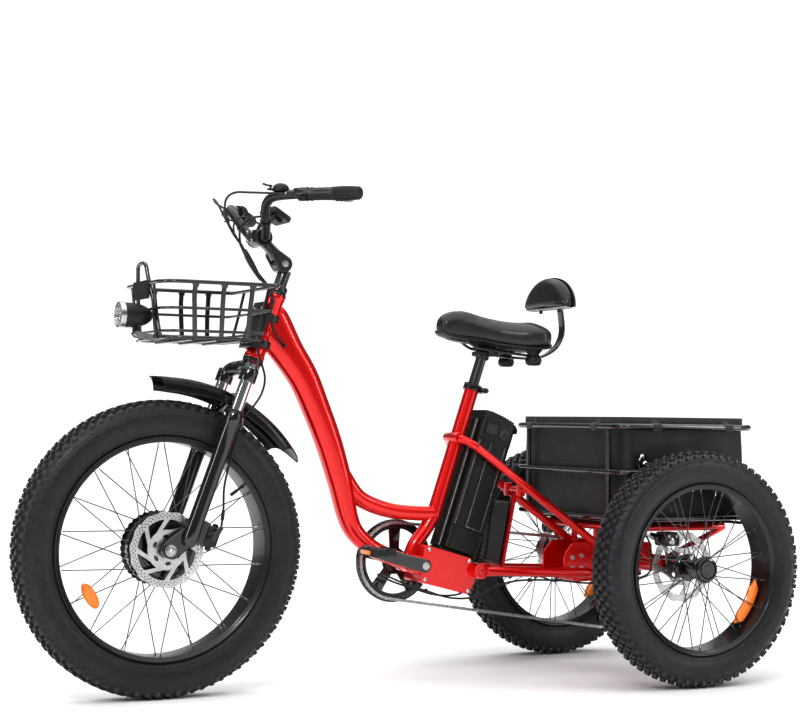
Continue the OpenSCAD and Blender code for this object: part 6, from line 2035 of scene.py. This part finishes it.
# ---------- camera, light and floor ----------


def studio():
    """Pale floor, a bright ceiling and back wall, three soft lights and the camera."""
    mesh = bpy.data.meshes.new("floor")
    mesh.from_pydata([(-30, -30, 0), (30, -30, 0), (30, 30, 0), (-30, 30, 0)], [], [(0, 1, 2, 3)])
    floor = bpy.data.objects.new("floor", mesh)
    bpy.context.scene.collection.objects.link(floor)
    k = Look("pale_floor")
    k.colour(k.spread(k.noise(3, 3), 0, 1), (0.93, 0.93, 0.93), (0.95, 0.95, 0.95))
    k.rough(k.noise(5, 3), 0.6, 0.7)
    mesh.materials.append(k.material)
    world = bpy.data.worlds.new("studio")
    bpy.context.scene.world = world
    world.use_nodes = True
    tree = world.node_tree

    def step(value, low, high, dark, bright):
        n = tree.nodes.new("ShaderNodeMapRange")
        n.interpolation_type = "SMOOTHSTEP"
        tree.links.new(value, n.inputs[0])
        for socket, v in zip(n.inputs[1:5], (low, high, dark, bright)):
            socket.default_value = v
        return n.outputs[0]
    sky = tree.nodes.new("ShaderNodeTexCoord").outputs["Generated"]
    split = tree.nodes.new("ShaderNodeSeparateXYZ")
    tree.links.new(sky, split.inputs[0])
    wall = tree.nodes.new("ShaderNodeVectorMath")
    wall.operation = "DOT_PRODUCT"
    tree.links.new(sky, wall.inputs[0])
    wall.inputs[1].default_value = (-0.4484, -0.8931, 0)
    both = tree.nodes.new("ShaderNodeMath")
    both.operation = "MAXIMUM"
    tree.links.new(step(split.outputs[2], 0.45, 0.75, 0.2, 2.0), both.inputs[0])
    tree.links.new(step(wall.outputs["Value"], 0.88, 0.95, 0.2, 1.15), both.inputs[1])
    tree.links.new(both.outputs[0], tree.nodes["Background"].inputs[1])
    tree.nodes["Background"].inputs[0].default_value = (1, 1, 1, 1)
    for name, at, target, size, power in (
            ("key", (2.8, 3.6, 3.4), (0.1, 0, 0.6), (1.6, 0.5), 80),
            ("side", (-3.0, 3.0, 1.7), (-0.4, 0, 0.5), (0.35, 2.2), 30),
            ("front", (4.0, 0.6, 1.6), (0.4, 0, 0.6), (0.35, 2.2), 32)):
        light = bpy.data.lights.new(name, "AREA")
        light.shape, light.size, light.size_y = "RECTANGLE", *size
        light.energy = power
        lamp = bpy.data.objects.new(name, light)
        lamp.location = at
        lamp.rotation_euler = (Vector(target) - Vector(at)).to_track_quat("-Z", "Y").to_euler()
        bpy.context.scene.collection.objects.link(lamp)
    cam = bpy.data.cameras.new("camera")
    cam.lens, cam.sensor_width, cam.clip_end = 76.7, 36, 100
    eye = bpy.data.objects.new("camera", cam)
    right, up = Vector((-0.8935, 0.4491, 0.0117)), Vector((0.0262, 0.0261, 0.9993))
    back = Vector((0.4484, 0.8931, -0.0351))
    eye.matrix_world = Matrix.Translation((1.928, 3.887, 0.652)) @ Matrix(
        (right, up, back)).transposed().to_4x4()
    bpy.context.scene.collection.objects.link(eye)
    bpy.context.scene.camera = eye
    bpy.context.scene.view_settings.view_transform = "Standard"
    bpy.context.scene.view_settings.gamma = 0.82


studio()
